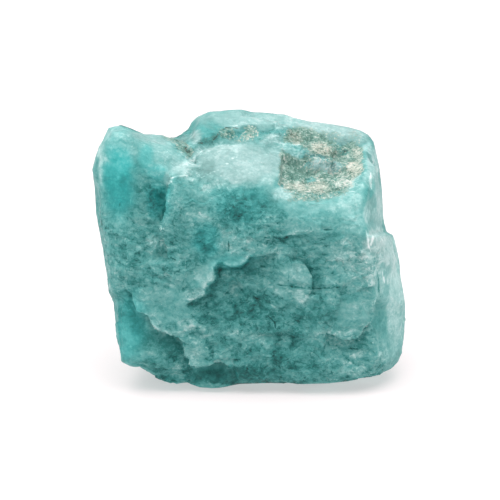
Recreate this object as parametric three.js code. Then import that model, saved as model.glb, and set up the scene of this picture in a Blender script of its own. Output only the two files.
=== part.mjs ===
// Rough amazonite: one cleavage block of blue-green feldspar that rests on a small flat foot.
// Millimetres, +Z up, the broad broken face towards -Y. The origin is on the foot, in the middle of the
// block's outer box. The surface is found along many directions from a point inside the block: it lies
// where the first of the cleavage faces, or the outline, is met. Ledges, hollows, clefts and cleavage
// terraces are then let into it along the same directions, so that it never folds over itself.
import * as THREE from 'three';
import { mergeVertices } from 'three/addons/utils/BufferGeometryUtils.js';

const { clamp, degToRad, smoothstep } = THREE.MathUtils;

// ---- Driving dimensions ----
const WIDTH = 50; // left to right
const DEPTH = 34; // broad face to back
const HEIGHT = 40; // foot to the highest point
const HEART = new THREE.Vector3(0, 0, 19); // every direction starts here
const GRID = { across: 38, deep: 15, up: 34 }; // cells along each side of the block
const EDGE_ROUNDING = 1.4; // how far back a broken edge is worn
const FOOT_LEVEL = 0.9; // height of the foot in the figures below; the finished block is let down by it

// Cleavage and fracture faces: the outward normal and a point that the face passes through. Left of the
// crevice the top lies HORN_LIFT higher, and a steeper facet takes the place of the brow.
const TOP = { normal: [0.185, -0.17, 1], through: [0, 0, 37.7] };
const BROW = { normal: [0.13, -0.7, 0.71], through: [0, -12, 35.4] };
const FACET = { normal: [0.152, -0.808, 0.569], through: [-9.7, -9.3, 37.9] };
const HORN_LIFT = 1.2;
const FACES = {
  front: { normal: [0, -1, 0.03], through: [0, -16.5, 15] },
  frontLeft: { normal: [-0.42, -0.88, 0.22], through: [-13.3, -15.8, 24] },
  left: { normal: [-0.985, -0.08, -0.14], through: [-26.1, 0, 30] },
  backLeft: { normal: [-0.72, 0.68, 0.05], through: [-20.5, 10.5, 20] },
  back: { normal: [0.06, 0.99, 0.1], through: [0, 16.6, 18] },
  backRight: { normal: [0.75, 0.66, -0.06], through: [20, 10.8, 18] },
  right: { normal: [0.985, 0.17, 0.02], through: [25.6, -4.6, 11] },
  frontRight: { normal: [0.93, -0.37, 0.03], through: [25.4, -4.6, 11] },
  crown: { normal: [-0.05, 0.62, 0.78], through: [0, 13.3, 39] },
  backCorner: { normal: [0.5, 0.55, 0.67], through: [18.5, 14, 36] },
  underBack: { normal: [0.05, 0.72, -0.69], through: [0, 14.2, 3.5] },
  underCorner: { normal: [-0.6, 0.55, -0.58], through: [-18, 10, 4.5] },
  underLeft: { normal: [-0.3, 0.03, -0.95], through: [-8.5, 0, FOOT_LEVEL] },
  underRight: { normal: [0.17, 0.03, -0.97], through: [13.5, 0, FOOT_LEVEL] },
  foot: { normal: [0, 0, -1], through: [0, 0, FOOT_LEVEL] },
};

// Drawing sheets, each held up to one side of the block: u runs to the right, v up, and the third axis
// into the stone. The front sheet leans back, so that it shows a little of the top.
const LEAN = degToRad(18);
const SHEETS = {
  front: { right: [1, 0, 0], up: [0, Math.sin(LEAN), Math.cos(LEAN)] },
  back: { right: [-1, 0, 0], up: [0, 0, 1] },
  left: { right: [0, -1, 0], up: [0, 0, 1] },
  right: { right: [0, 1, 0], up: [0, 0, 1] },
  top: { right: [1, 0, 0], up: [0, 1, 0] },
};

// The block's outline on the front sheet, anticlockwise from the right, as [u, v].
const OUTLINE = [
  [25, 9.9], [24.6, 12], [24.1, 14.5], [23.9, 17], [23.2, 20.3], [22.8, 21.3], [21.8, 21.8], [21.3, 24],
  [21.1, 28.6], [20.7, 32], [20.3, 34], [19.8, 36.2], [19, 37.5], [18, 38.2], [16, 38.9], [13.2, 39.3],
  [9.2, 39.7], [6.9, 40.3], [5.6, 41.1], [2, 41.5], [-2.9, 41.3], [-6.6, 41.4], [-8.4, 40.6], [-9.5, 39.3],
  [-10, 38.3], [-11, 37.5], [-11.9, 37], [-13, 36.9], [-14.4, 37.2], [-17, 37.3], [-18.2, 37.7],
  [-19.2, 38.1], [-20.6, 38.7], [-21.6, 38.7], [-22.7, 38.4], [-23.5, 36.6], [-24.3, 35.2], [-24.9, 33.4],
  [-25.3, 31.7], [-24.9, 28.6], [-24.8, 24.8], [-24.3, 21.9], [-23.7, 19], [-23.3, 16], [-22.7, 13],
  [-21.9, 10.3], [-21.6, 7], [-21.1, 4], [-20.5, 1], [-19.3, 0.5], [-17.6, 0.2], [-16.4, -0.7],
  [-13.7, -2.3], [-12, -2.9], [-10.3, -2.7], [-8.3, -3.6], [-6.3, -3.8], [-4.9, -3.7], [-1.6, -2.9],
  [3.8, -2.7], [8.5, -2.7], [12.6, -2.5], [16, -2], [20, -1.3], [22.5, -0.2], [23.9, 0.9], [24.7, 2.1],
  [25, 4.5], [25.1, 6.5],
];
const OUTLINE_MIDDLE = [0, 18.9];
// The outline is met on a slanting rim, y = start + z * slope, which is less steep at the left-hand end.
// From the rim the sides draw in by the taper, towards the broad face and towards the back. Near the
// foot, below `flared`, they draw in less towards the back.
const RIM = {
  start: -12,
  slope: 0.66,
  slopeAtLeft: 0.34,
  fullSlopeFrom: -8,
  leftSlopeTo: -22,
  taperToFront: 0.12,
  taperToBack: 0.2,
  flared: 8,
};

// The crevice between the horn and the main slab, on the front sheet. The horn is on its right-hand side.
const CREVICE = {
  width: 2.4,
  line: [[-14.6, 38.2], [-13.8, 37.4], [-11.1, 35.7], [-9.7, 33.4], [-12.9, 30], [-13.6, 26]],
};

// Ledges: along each line the ground on its right-hand side drops by `drop` mm, and it has risen back to
// the face `fade` mm away.
const LEDGES = [
  // foot of the hump at the back of the top, in two sheets
  {
    sheet: 'front',
    drop: 0.45,
    fade: 1.4,
    line: [[-10.3, 34.4], [-9.6, 35.3], [-8.4, 35.7], [-6.6, 36.1], [-5.4, 36.6], [-4.9, 37.4], [-4.1, 38.2]],
  },
  {
    sheet: 'front',
    drop: 1,
    fade: 3.4,
    line: [[-5.1, 37], [-4.9, 37.6], [-4, 38.3], [-1.5, 38.7], [1.8, 38.8], [4.6, 38.6]],
  },
  // left-hand edge of the main slab, above the smooth wing
  {
    sheet: 'front',
    drop: 2.4,
    fade: 7,
    line: [[-12.4, 31], [-12.8, 30], [-13.1, 28.5], [-13.1, 26.4], [-13.2, 24.9], [-14.2, 23.7],
      [-14.5, 22.8], [-13.9, 21.4], [-13.8, 20], [-13.5, 18.5], [-13.4, 16.6]],
  },
  // three thinner sheets in the middle of the broad face
  {
    sheet: 'front',
    drop: 0.45,
    fade: 3.5,
    line: [[-5.8, 27.5], [-7.3, 26.3], [-8.4, 26.3], [-9.2, 26.9], [-9.6, 26.4], [-11.1, 25.9]],
  },
  {
    sheet: 'front',
    drop: 0.6,
    fade: 4,
    line: [[1.6, 20.2], [3.6, 20.9], [5.4, 21], [6, 21.3], [8.9, 21.6], [10.4, 22.3]],
  },
  {
    sheet: 'front',
    drop: 1.9,
    fade: 10,
    line: [[-11, 9.9], [-8.9, 11.1], [-8.1, 11.2], [-7.1, 11.9], [-7, 13], [-6.2, 13.6], [-5.8, 15.8],
      [-5.5, 16.4], [-2.1, 16.1], [-1.2, 16.4], [-0.1, 17.8], [1, 17.8], [2.7, 18.4], [5, 18.8]],
  },
  // right-hand edge of a raised flake
  {
    sheet: 'front',
    drop: 0.8,
    fade: 3,
    line: [[9.5, 11.4], [9.7, 12.9], [9.7, 14.1], [9.4, 15.3], [8.6, 16.6], [7.6, 17.1], [6, 16.7]],
  },
  // lower left-hand edge of the main slab
  {
    sheet: 'front',
    drop: 2.7,
    fade: 10,
    line: [[-20.6, 13.4], [-19.3, 11.5], [-18.6, 8.9], [-17.6, 8.4], [-16.8, 7.8], [-16.5, 6.9],
      [-15.6, 6.1], [-14.5, 5.5], [-11.7, 4.6], [-11, 4], [-10.7, 2.9], [-10.6, 1.7], [-10, 1.3],
      [-9.9, 0.5], [-8.8, 0.2], [-5.1, 0.5], [-3.4, -0.3], [-2.4, 0.2]],
  },
  // lower right-hand edge of the main slab
  {
    sheet: 'front',
    drop: 1.3,
    fade: 6,
    line: [[11.8, 5.4], [13, 5.1], [14.4, 4.6], [17.5, 4.5], [18, 5.1], [18.7, 6.1], [20, 7.6], [20, 9.6],
      [20.3, 11.5]],
  },
  // upright cleavage sheets of the right-hand side
  { sheet: 'right', drop: 1.5, fade: 9, line: [[-1.5, 2], [-2.2, 9], [-1.1, 16], [-2.4, 22]] },
  { sheet: 'right', drop: 0.6, fade: 7, line: [[5.5, 36], [6.4, 27], [4.8, 18], [6, 9], [5, 4]] },
  // back
  {
    sheet: 'back',
    drop: 1.9,
    fade: 12,
    line: [[-19, 27], [-12, 29.5], [-6, 27.2], [0, 28.6], [6, 24.4], [13, 25.6], [19, 22]],
  },
  { sheet: 'back', drop: 1.5, fade: 9, line: [[2.5, 3], [1.2, 9], [3.4, 13], [1.8, 19], [3, 25]] },
  { sheet: 'back', drop: 1.2, fade: 7, line: [[-17, 13], [-11, 11.4], [-8.6, 13.2], [-3, 12]] },
  // left-hand end
  { sheet: 'left', drop: 1.4, fade: 8, line: [[-13, 24], [-8, 21.5], [-4.6, 22.6], [0.5, 18], [5, 17]] },
  { sheet: 'left', drop: 1.1, fade: 6, line: [[-7, 5], [-5.4, 10], [-6.4, 14], [-5, 18]] },
  // top, behind the hump
  { sheet: 'top', drop: 1.2, fade: 6, line: [[17, 4.5], [12, 6.4], [8, 5.6], [4.5, 8], [-2, 8.6]] },
];

// Hollows: inside each line the ground lies `drop` mm lower, behind a wall `wall` mm wide.
const HOLLOWS = [
  // stained hollows on the right of the top: one behind a pale sheet, one in front of it, one at its end
  {
    sheet: 'front',
    drop: 0.6,
    wall: 1.4,
    middle: [9, 37],
    line: [[5.2, 38], [8, 38.7], [11.6, 38.1], [14.2, 36.6], [12.6, 35.2], [9, 35.6], [6, 36.4]],
  },
  {
    sheet: 'front',
    drop: 1.3,
    wall: 0.8,
    middle: [10.4, 30.4],
    line: [[4.7, 33.8], [4.6, 29.4], [5.8, 28.2], [7.6, 26.9], [9, 26.2], [12.2, 26.2], [13.9, 27],
      [16.4, 28.7], [17.8, 31], [16.6, 32.6], [13.4, 33.4], [10.2, 33.3], [7.6, 34], [5.8, 34.3]],
  },
  {
    sheet: 'front',
    drop: 1,
    wall: 0.8,
    middle: [15.6, 33.4],
    line: [[13, 34.4], [14.2, 35.8], [16.4, 36.4], [18.2, 35.4], [18.4, 32.6], [17.2, 30.4], [14.6, 31],
      [13.2, 32.8]],
  },
  // deep corner between the facet, the wing and the main slab
  {
    sheet: 'front',
    drop: 1.3,
    wall: 1.5,
    middle: [-14.3, 26.4],
    line: [[-12.9, 29.2], [-14.2, 29.6], [-16.4, 29.2], [-16.2, 25.6], [-15.4, 23], [-14.2, 22], [-13, 25]],
  },
  // pits in the broad face
  {
    sheet: 'front',
    drop: 1.1,
    wall: 1.6,
    middle: [-3.4, 11],
    line: [[-0.6, 12.2], [-2.6, 14.6], [-5, 13.4], [-5.6, 10.4], [-3.6, 8], [-1, 8.8]],
  },
  {
    sheet: 'front',
    drop: 0.9,
    wall: 1.4,
    middle: [6.4, 3.4],
    line: [[9.4, 4.4], [6.8, 6.4], [3.6, 5], [3.4, 2], [6.6, 0.8], [9, 1.8]],
  },
  // scars of lost flakes on the back and the left-hand end
  {
    sheet: 'back',
    drop: 1.3,
    wall: 1.4,
    middle: [12, 13],
    line: [[17, 14], [13.4, 18.6], [8, 16], [7.4, 11], [11, 8], [16, 9.4]],
  },
  {
    sheet: 'left',
    drop: 1.2,
    wall: 1.4,
    middle: [3.4, 29],
    line: [[8, 29.4], [5, 33], [0.6, 32], [-1, 27.6], [2.6, 24.6], [7, 26]],
  },
];

// Clefts: narrow furrows, `deep` mm deep and `width` mm across at the surface.
const CLEFTS = [
  // bottom of the crevice
  {
    sheet: 'front',
    deep: 0.5,
    width: 1.6,
    line: [[-12.6, 37.4], [-11.6, 36.5], [-10.6, 35.4], [-9.9, 34.2], [-9.8, 33]],
  },
  // between the broad face and the lower right-hand block
  {
    sheet: 'front',
    deep: 0.7,
    width: 1.5,
    line: [[20.2, 18.6], [20.9, 15.8], [20.7, 14.1], [21.2, 11], [21.2, 8], [20.8, 5]],
  },
  { sheet: 'back', deep: 1.4, width: 2.6, line: [[-12, 38], [-9.6, 33], [-10.4, 28]] },
  { sheet: 'right', deep: 1, width: 2.2, line: [[10, 30], [10.6, 20], [9.6, 11]] },
];

const ENDS = 2.5; // a ledge or a cleft runs out over this distance at each end
const WALL = 0.7; // width of a ledge's wall
const LEFT_MARGIN = 7; // the front sheet's marks fade out this far inside the left-hand face

// Natural unevenness: swells of two lengths everywhere, and stepped cleavage behind the rim.
const SWELL = { height: 0.55, length: 15 };
const ROUGH = { height: 0.16, length: 5.5 };
const TERRACE = { relief: 1.1, length: 30, step: 0.8 };

// ---- Lines on a sheet ----

// The distance from the middle of a closed line to the line itself, in the direction of (x, y).
function radiusOf(line, middle) {
  const corners = line.map(([u, v]) => {
    const x = u - middle[0];
    const y = v - middle[1];
    return { x, y, angle: Math.atan2(y, x) };
  });
  corners.sort((a, b) => a.angle - b.angle);
  return (x, y) => {
    const angle = Math.atan2(y, x);
    const after = Math.max(corners.findIndex((corner) => corner.angle > angle), 0);
    const a = corners.at(after - 1);
    const b = corners[after];
    return ((a.x * b.y - a.y * b.x) * Math.hypot(x, y)) / (x * (b.y - a.y) - y * (b.x - a.x));
  };
}

// The signed distance to an open line, above zero on its right-hand side, and how far away the nearer of
// the line's two ends is, measured along it.
function besideLine(line, u, v) {
  let nearest = { rank: Infinity };
  let travelled = 0;
  for (let i = 1; i < line.length; i += 1) {
    const [startU, startV] = line[i - 1];
    const du = line[i][0] - startU;
    const dv = line[i][1] - startV;
    const length = Math.hypot(du, dv);
    const share = clamp(((u - startU) * du + (v - startV) * dv) / length ** 2, 0, 1);
    const distance = Math.hypot(u - startU - share * du, v - startV - share * dv);
    const across = ((u - startU) * dv - (v - startV) * du) / length;
    // Two stretches are equally near at their corner, where the one seen more squarely gives the side.
    const rank = distance ** 2 - 0.001 * across ** 2;
    if (rank < nearest.rank) {
      nearest = { rank, side: Math.sign(across) * distance, at: travelled + share * length };
    }
    travelled += length;
  }
  return { side: nearest.side, toEnd: Math.min(nearest.at, travelled - nearest.at) };
}

// ---- The bare block ----

const sheets = Object.fromEntries(
  Object.entries(SHEETS).map(([name, { right, up }]) => {
    const u = new THREE.Vector3(...right);
    const v = new THREE.Vector3(...up);
    return [name, { u, v, away: v.clone().cross(u) }];
  }),
);

// A function that gives how far a point is beyond a face.
function distanceBeyond({ normal, through }) {
  const outward = new THREE.Vector3(...normal).normalize();
  const reach = outward.dot(new THREE.Vector3(...through));
  return (p) => outward.dot(p) - reach;
}

const beyondFaces = Object.values(FACES).map(distanceBeyond);
const beyondLeft = distanceBeyond(FACES.left);
const beyondTop = distanceBeyond(TOP);
const beyondBrow = distanceBeyond(BROW);
const beyondFacet = distanceBeyond(FACET);

const outlineRadius = radiusOf(OUTLINE, OUTLINE_MIDDLE);

function behindRim(p) {
  const share = clamp((p.x - RIM.leftSlopeTo) / (RIM.fullSlopeFrom - RIM.leftSlopeTo), 0, 1);
  return p.y - RIM.start - p.z * (RIM.slopeAtLeft + share * (RIM.slope - RIM.slopeAtLeft));
}

function outsideOutline(p) {
  const x = p.dot(sheets.front.u) - OUTLINE_MIDDLE[0];
  const y = p.dot(sheets.front.v) - OUTLINE_MIDDLE[1];
  const behind = behindRim(p);
  const taperToBack = RIM.taperToBack * smoothstep(p.z, 0, RIM.flared);
  const drawnIn = behind > 0 ? behind * taperToBack : -behind * RIM.taperToFront;
  return Math.hypot(x, y) - outlineRadius(x, y) + drawnIn;
}

// The larger of two numbers, with the change from one to the other rounded off.
function roundedMax(a, b) {
  const overlap = Math.max(EDGE_ROUNDING - Math.abs(a - b), 0);
  return Math.max(a, b) + overlap ** 2 / (4 * EDGE_ROUNDING);
}

// How far a point is on the horn's side of the crevice, from 0 to 1.
function hornShare(p) {
  const { side } = besideLine(CREVICE.line, p.dot(sheets.front.u), p.dot(sheets.front.v));
  return smoothstep(side, -CREVICE.width / 2, CREVICE.width / 2);
}

// How far a point is outside the bare block: below zero inside it.
function outside(p) {
  const horn = hornShare(p);
  const top = beyondTop(p) - HORN_LIFT * horn;
  const brow = beyondBrow(p) * (1 - horn) + beyondFacet(p) * horn;
  let most = roundedMax(roundedMax(outsideOutline(p), top), brow);
  for (const beyond of beyondFaces) {
    most = roundedMax(most, beyond(p));
  }
  return most;
}

// The bare block's surface along a direction, by halving the stretch that holds it.
function surfaceAlong(direction) {
  const p = new THREE.Vector3();
  let inner = 4;
  let outer = 60;
  while (outer - inner > 1e-6) {
    const middle = (inner + outer) / 2;
    p.copy(HEART).addScaledVector(direction, middle);
    if (outside(p) > 0) {
      outer = middle;
    } else {
      inner = middle;
    }
  }
  return p;
}

function normalAt(p) {
  const reach = 0.4;
  const rise = (axis) => {
    const ahead = p.clone();
    const astern = p.clone();
    ahead[axis] += reach;
    astern[axis] -= reach;
    return outside(ahead) - outside(astern);
  };
  return new THREE.Vector3(rise('x'), rise('y'), rise('z')).normalize();
}

// ---- Relief ----

function ledgeDepth({ drop, fade, line }, u, v) {
  const { side, toEnd } = besideLine(line, u, v);
  return drop * smoothstep(toEnd, 0, ENDS) * smoothstep(side, 0, WALL) * (1 - smoothstep(side, WALL, fade));
}

function hollowDepth({ drop, wall, middle, radius }, u, v) {
  const x = u - middle[0];
  const y = v - middle[1];
  return drop * smoothstep(radius(x, y) - Math.hypot(x, y), 0, wall);
}

function cleftDepth({ deep, width, line }, u, v) {
  const { side, toEnd } = besideLine(line, u, v);
  return deep * smoothstep(toEnd, 0, ENDS) * (1 - smoothstep(Math.abs(side), 0, width / 2));
}

// Every mark as its sheet and a function that gives its depth at a place on that sheet.
const marks = [
  ...LEDGES.map((ledge) => ({ sheet: ledge.sheet, depth: (u, v) => ledgeDepth(ledge, u, v) })),
  ...HOLLOWS.map((hollow) => {
    const radius = radiusOf(hollow.line, hollow.middle);
    return { sheet: hollow.sheet, depth: (u, v) => hollowDepth({ ...hollow, radius }, u, v) };
  }),
  ...CLEFTS.map((cleft) => ({ sheet: cleft.sheet, depth: (u, v) => cleftDepth(cleft, u, v) })),
];

// A sum of waves of about one length, in directions spread over a globe, between about -1 and 1.
function waves(p, length) {
  const count = 7;
  const goldenAngle = Math.PI * (3 - Math.sqrt(5));
  let sum = 0;
  for (let i = 0; i < count; i += 1) {
    const climb = 1 - (2 * i + 1) / count;
    const level = Math.sqrt(1 - climb ** 2);
    const turn = goldenAngle * i;
    const along = p.x * level * Math.cos(turn) + p.y * level * Math.sin(turn) + p.z * climb;
    sum += Math.sin((2 * Math.PI * along) / (length * (0.8 + 0.08 * i)) + 2.4 * i);
  }
  return sum / 3;
}

// A smooth height broken into steps, one cleavage sheet after another.
function stepped(height, step) {
  const sheet = Math.floor(height / step);
  return step * (sheet + smoothstep(height / step - sheet, 0.3, 0.7));
}

// How deep the relief is at a point of the bare block, whose outward normal there is given.
function reliefAt(p, normal) {
  const behind = behindRim(p);
  const offRim = smoothstep(Math.abs(behind), 0.5, 4);
  const fromLeft = clamp(-beyondLeft(p) / LEFT_MARGIN, 0, 1);
  let depth = 0;
  for (const [name, { u, v, away }] of Object.entries(sheets)) {
    const facing = -normal.dot(away);
    const share =
      name === 'front' ? fromLeft * smoothstep(facing, 0.05, 0.25) : offRim * smoothstep(facing, 0.4, 0.85);
    for (const mark of marks.filter(({ sheet }) => sheet === name)) {
      depth += share * mark.depth(p.dot(u), p.dot(v));
    }
  }
  depth += offRim * (SWELL.height * waves(p, SWELL.length) + ROUGH.height * waves(p, ROUGH.length));
  depth += smoothstep(behind, 1, 7) * stepped(TERRACE.relief * (1 + waves(p, TERRACE.length)), TERRACE.step);
  return depth * smoothstep(p.z - FOOT_LEVEL, 0.2, 2.5); // the foot stays flat
}

function block() {
  const box = new THREE.BoxGeometry(WIDTH, DEPTH, HEIGHT, GRID.across, GRID.deep, GRID.up);
  box.deleteAttribute('normal');
  box.deleteAttribute('uv');
  const geometry = mergeVertices(box);
  const place = geometry.getAttribute('position');
  const direction = new THREE.Vector3();
  for (let i = 0; i < place.count; i += 1) {
    direction.fromBufferAttribute(place, i).normalize();
    const p = surfaceAlong(direction);
    const normal = normalAt(p);
    p.addScaledVector(direction, -reliefAt(p, normal) / Math.max(normal.dot(direction), 0.5));
    place.setXYZ(i, p.x, p.y, p.z - FOOT_LEVEL);
  }
  return geometry;
}

const amazonite = new THREE.Mesh(
  block(),
  new THREE.MeshStandardMaterial({ color: 0x5fb0a6, roughness: 0.45, metalness: 0 }),
);
amazonite.name = 'amazonite';

const stone = new THREE.Group();
stone.add(amazonite);

export default stone;
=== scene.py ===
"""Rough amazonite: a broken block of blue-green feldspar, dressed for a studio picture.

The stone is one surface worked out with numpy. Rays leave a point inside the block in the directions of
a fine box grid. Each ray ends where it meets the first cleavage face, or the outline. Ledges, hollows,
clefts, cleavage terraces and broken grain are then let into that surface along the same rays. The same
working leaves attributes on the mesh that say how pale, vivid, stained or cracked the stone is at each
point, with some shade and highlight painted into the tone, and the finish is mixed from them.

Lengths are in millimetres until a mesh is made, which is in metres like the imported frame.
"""

from __future__ import annotations

import logging
import math
from dataclasses import dataclass, field
from enum import Enum
from typing import ClassVar

import bpy
import numpy as np
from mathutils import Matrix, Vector

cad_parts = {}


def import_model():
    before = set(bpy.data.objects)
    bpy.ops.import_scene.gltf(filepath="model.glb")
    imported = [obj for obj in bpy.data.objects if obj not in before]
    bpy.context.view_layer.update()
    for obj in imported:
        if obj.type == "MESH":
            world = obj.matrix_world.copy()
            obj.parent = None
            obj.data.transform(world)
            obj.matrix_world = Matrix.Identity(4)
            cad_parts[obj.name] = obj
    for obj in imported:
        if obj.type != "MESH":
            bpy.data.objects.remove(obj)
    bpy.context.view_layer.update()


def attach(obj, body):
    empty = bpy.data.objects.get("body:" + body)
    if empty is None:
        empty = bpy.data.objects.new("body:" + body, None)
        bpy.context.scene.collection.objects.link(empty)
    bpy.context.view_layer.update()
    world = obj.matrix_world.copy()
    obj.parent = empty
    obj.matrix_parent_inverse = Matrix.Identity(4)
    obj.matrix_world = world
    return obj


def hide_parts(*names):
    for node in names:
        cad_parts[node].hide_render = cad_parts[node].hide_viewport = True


LOG = logging.getLogger("amazonite")
MM = 0.001  # a millimetre in metres
LEAN = math.radians(18)  # how far the front sheet leans back, and how high the camera stands
FOOT_LEVEL = 0.9  # height of the foot in the working; the finished stone is let down by it
FAR = 99.0  # a distance too great to matter
RUN_OUT = 0.15  # share of a ledge or cleft below which its line no longer counts
LATTICE = 256  # length of the tables of random values, a power of two

Array = np.ndarray
Socket = bpy.types.NodeSocket
Point = tuple[float, float]
Span = tuple[float, float]
Line = tuple[Point, ...]
Colour = tuple[float, float, float]
Stops = tuple[tuple[float, Colour], ...]
Plane = tuple[tuple[float, float, float], tuple[float, float, float]]


# ---- Small mathematics ----


def smoothstep(value: Array, low: float, high: float) -> Array:
    """Ease from 0 at low to 1 at high, as 3 t^2 - 2 t^3 of the share t of the way.

    Args:
        value: Any array.
        low: Value at and below which the result is 0.
        high: Value at and above which the result is 1.

    Returns:
        An array of the same shape, between 0 and 1.
    """
    share = np.clip((value - low) / (high - low), 0.0, 1.0)
    return share * share * (3.0 - 2.0 * share)


def stepped(height: Array, step: float, sharpness: float = 0.2) -> Array:
    """Break a smooth height into flat steps, one cleavage sheet after another.

    Args:
        height: Smooth height in millimetres.
        step: Thickness of one sheet in millimetres.
        sharpness: Half of the share of each step that its wall takes.

    Returns:
        The stepped height in millimetres.
    """
    sheet = np.floor(height / step)
    return step * (sheet + smoothstep(height / step - sheet, 0.5 - sharpness, 0.5 + sharpness))


def waves(points: Array, length: float) -> Array:
    """Sum seven waves of about one length, in directions spread over a globe.

    Their lengths run from 0.8 to 1.28 of the middle one, and a third of the sum is taken.

    Args:
        points: Places as an n by 3 array in millimetres.
        length: Middle wavelength in millimetres.

    Returns:
        n values between about -1 and 1.
    """
    count = 7
    index = np.arange(count)
    climb = 1.0 - (2.0 * index + 1.0) / count
    level = np.sqrt(1.0 - climb**2)
    turn = math.pi * (3.0 - math.sqrt(5.0)) * index
    directions = np.stack([level * np.cos(turn), level * np.sin(turn), climb])
    phase = 2.0 * math.pi * (points @ directions) / (length * (0.8 + 0.08 * index)) + 2.4 * index
    return np.sin(phase).sum(axis=1) / 3.0


def drawn(order: Array, cell: Array) -> Array:
    """Pick an entry of a table of random values for each cell of a cubic lattice.

    The three indices are looked up one after another, each from where the last look-up led.

    Args:
        order: The numbers below LATTICE in random order.
        cell: Whole-number places as an n by 3 array.

    Returns:
        n indices below LATTICE.
    """
    key = cell & (LATTICE - 1)
    entry = order[key[:, 0]]
    entry = order[(entry + key[:, 1]) & (LATTICE - 1)]
    return order[(entry + key[:, 2]) & (LATTICE - 1)]


class GrainNoise:
    """Seeded gradient noise: random slopes on a cubic lattice, blended smoothly between its corners."""

    full_range: ClassVar[float] = 1.6  # brings the blended slopes to between about -1 and 1
    octave_shift: ClassVar[float] = 17.3  # moves each octave, so that no two share their corners

    def __init__(self, seed: int) -> None:
        """Draw the lattice's slopes.

        Args:
            seed: Seed of the draw.
        """
        draw = np.random.default_rng(seed)
        self.order = draw.permutation(LATTICE)
        slopes = draw.normal(size=(LATTICE, 3))
        self.slopes = slopes / np.linalg.norm(slopes, axis=1, keepdims=True)

    def at(self, points: Array) -> Array:
        """Evaluate one octave whose lattice cells are 1 unit wide.

        Args:
            points: Places as an n by 3 array, in cell widths.

        Returns:
            n values between about -1 and 1.
        """
        cell = np.floor(points).astype(np.int64)
        inside = points - cell
        ease = inside**3 * (inside * (inside * 6.0 - 15.0) + 10.0)
        total = np.zeros(len(points))
        for corner in np.ndindex(2, 2, 2):
            slopes = self.slopes[drawn(self.order, cell + corner)]
            slope = np.einsum("ij,ij->i", slopes, inside - corner)
            weight = np.where(np.array(corner) == 1, ease, 1.0 - ease).prod(axis=1)
            total += weight * slope
        return total * self.full_range

    def layered(self, points: Array, size: float, octaves: int = 4, gain: float = 0.5) -> Array:
        """Sum octaves of noise, each half the size of the last.

        Args:
            points: Places as an n by 3 array in millimetres.
            size: Lattice cell of the first octave in millimetres.
            octaves: Number of octaves.
            gain: Height of each octave against the last.

        Returns:
            n values between about -1 and 1.
        """
        total = np.zeros(len(points))
        for octave in range(octaves):
            shifted = points * (2.0**octave / size) + self.octave_shift * octave
            total += gain**octave * self.at(shifted)
        return total


class ChipNoise:
    """Seeded cells, as on a face that broke into little cleavage chips, each level and tilted its own way."""

    def __init__(self, seed: int) -> None:
        """Draw the cells' middles, levels and tilts.

        Args:
            seed: Seed of the draw.
        """
        draw = np.random.default_rng(seed)
        self.order = draw.permutation(LATTICE)
        self.middles = draw.random((LATTICE, 3))
        self.levels = draw.uniform(-1.0, 1.0, LATTICE)
        tilts = draw.normal(size=(LATTICE, 3))
        self.tilts = tilts / np.linalg.norm(tilts, axis=1, keepdims=True)

    def at(self, points: Array, size: float) -> tuple[Array, Array]:
        """Find the chip that each place lies on: the one with the nearest middle of 27 around it.

        Args:
            points: Places as an n by 3 array in millimetres.
            size: Mean width of a chip in millimetres.

        Returns:
            The chip's level, between -1 and 1, and the rise of its tilted face at the place, in millimetres.
        """
        scaled = points / size
        cell = np.floor(scaled).astype(np.int64)
        nearest = np.full(len(points), np.inf)
        level = np.zeros(len(points))
        rise = np.zeros(len(points))
        for step in np.ndindex(3, 3, 3):
            corner = cell + step - 1
            chip = drawn(self.order, corner)
            gap = scaled - corner - self.middles[chip]
            squared = (gap**2).sum(axis=1)
            closer = squared < nearest
            nearest = np.where(closer, squared, nearest)
            level = np.where(closer, self.levels[chip], level)
            rise = np.where(closer, (gap * self.tilts[chip]).sum(axis=1) * size, rise)
        return level, rise


# ---- Lines drawn on the sides of the block ----


class Sheet(Enum):
    """Drawing sheets held up to the block, as the right and up directions of each."""

    FRONT = ((1.0, 0.0, 0.0), (0.0, math.sin(LEAN), math.cos(LEAN)))
    BACK = ((-1.0, 0.0, 0.0), (0.0, 0.0, 1.0))
    LEFT = ((0.0, -1.0, 0.0), (0.0, 0.0, 1.0))
    RIGHT = ((0.0, 1.0, 0.0), (0.0, 0.0, 1.0))
    TOP = ((1.0, 0.0, 0.0), (0.0, 1.0, 0.0))

    def flatten(self, points: Array) -> Array:
        """Return the sheet's (u, v) of each point."""
        return points @ np.array(self.value).T

    def facing(self, normals: Array) -> Array:
        """Return how squarely each normal looks out at the sheet: 1 where it faces it fully."""
        right, up = (np.array(axis) for axis in self.value)
        return -normals @ np.cross(up, right)


def ring_radius(line: Line, middle: Point, places: Array) -> Array:
    """Distance from a ring's middle to the ring, in the direction of each place.

    A ray from the middle meets the straight side between two corners a and b where the cross product
    of a and b is divided by the cross product of the ray's direction and the side.

    Args:
        line: The ring's corners, which go once round the middle.
        middle: The point that the ring is seen from.
        places: (u, v) places, measured from the middle.

    Returns:
        One distance for each place.
    """
    corners = np.array(line) - middle
    angles = np.arctan2(corners[:, 1], corners[:, 0])
    order = np.argsort(angles)
    corners, angles = corners[order], angles[order]
    after = np.searchsorted(angles, np.arctan2(places[:, 1], places[:, 0]), side="right") % len(line)
    a, b = corners[after - 1], corners[after]
    side = b - a
    crossed = a[:, 0] * b[:, 1] - a[:, 1] * b[:, 0]
    length = np.hypot(places[:, 0], places[:, 1])
    return crossed * length / (places[:, 0] * side[:, 1] - places[:, 1] * side[:, 0])


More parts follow.
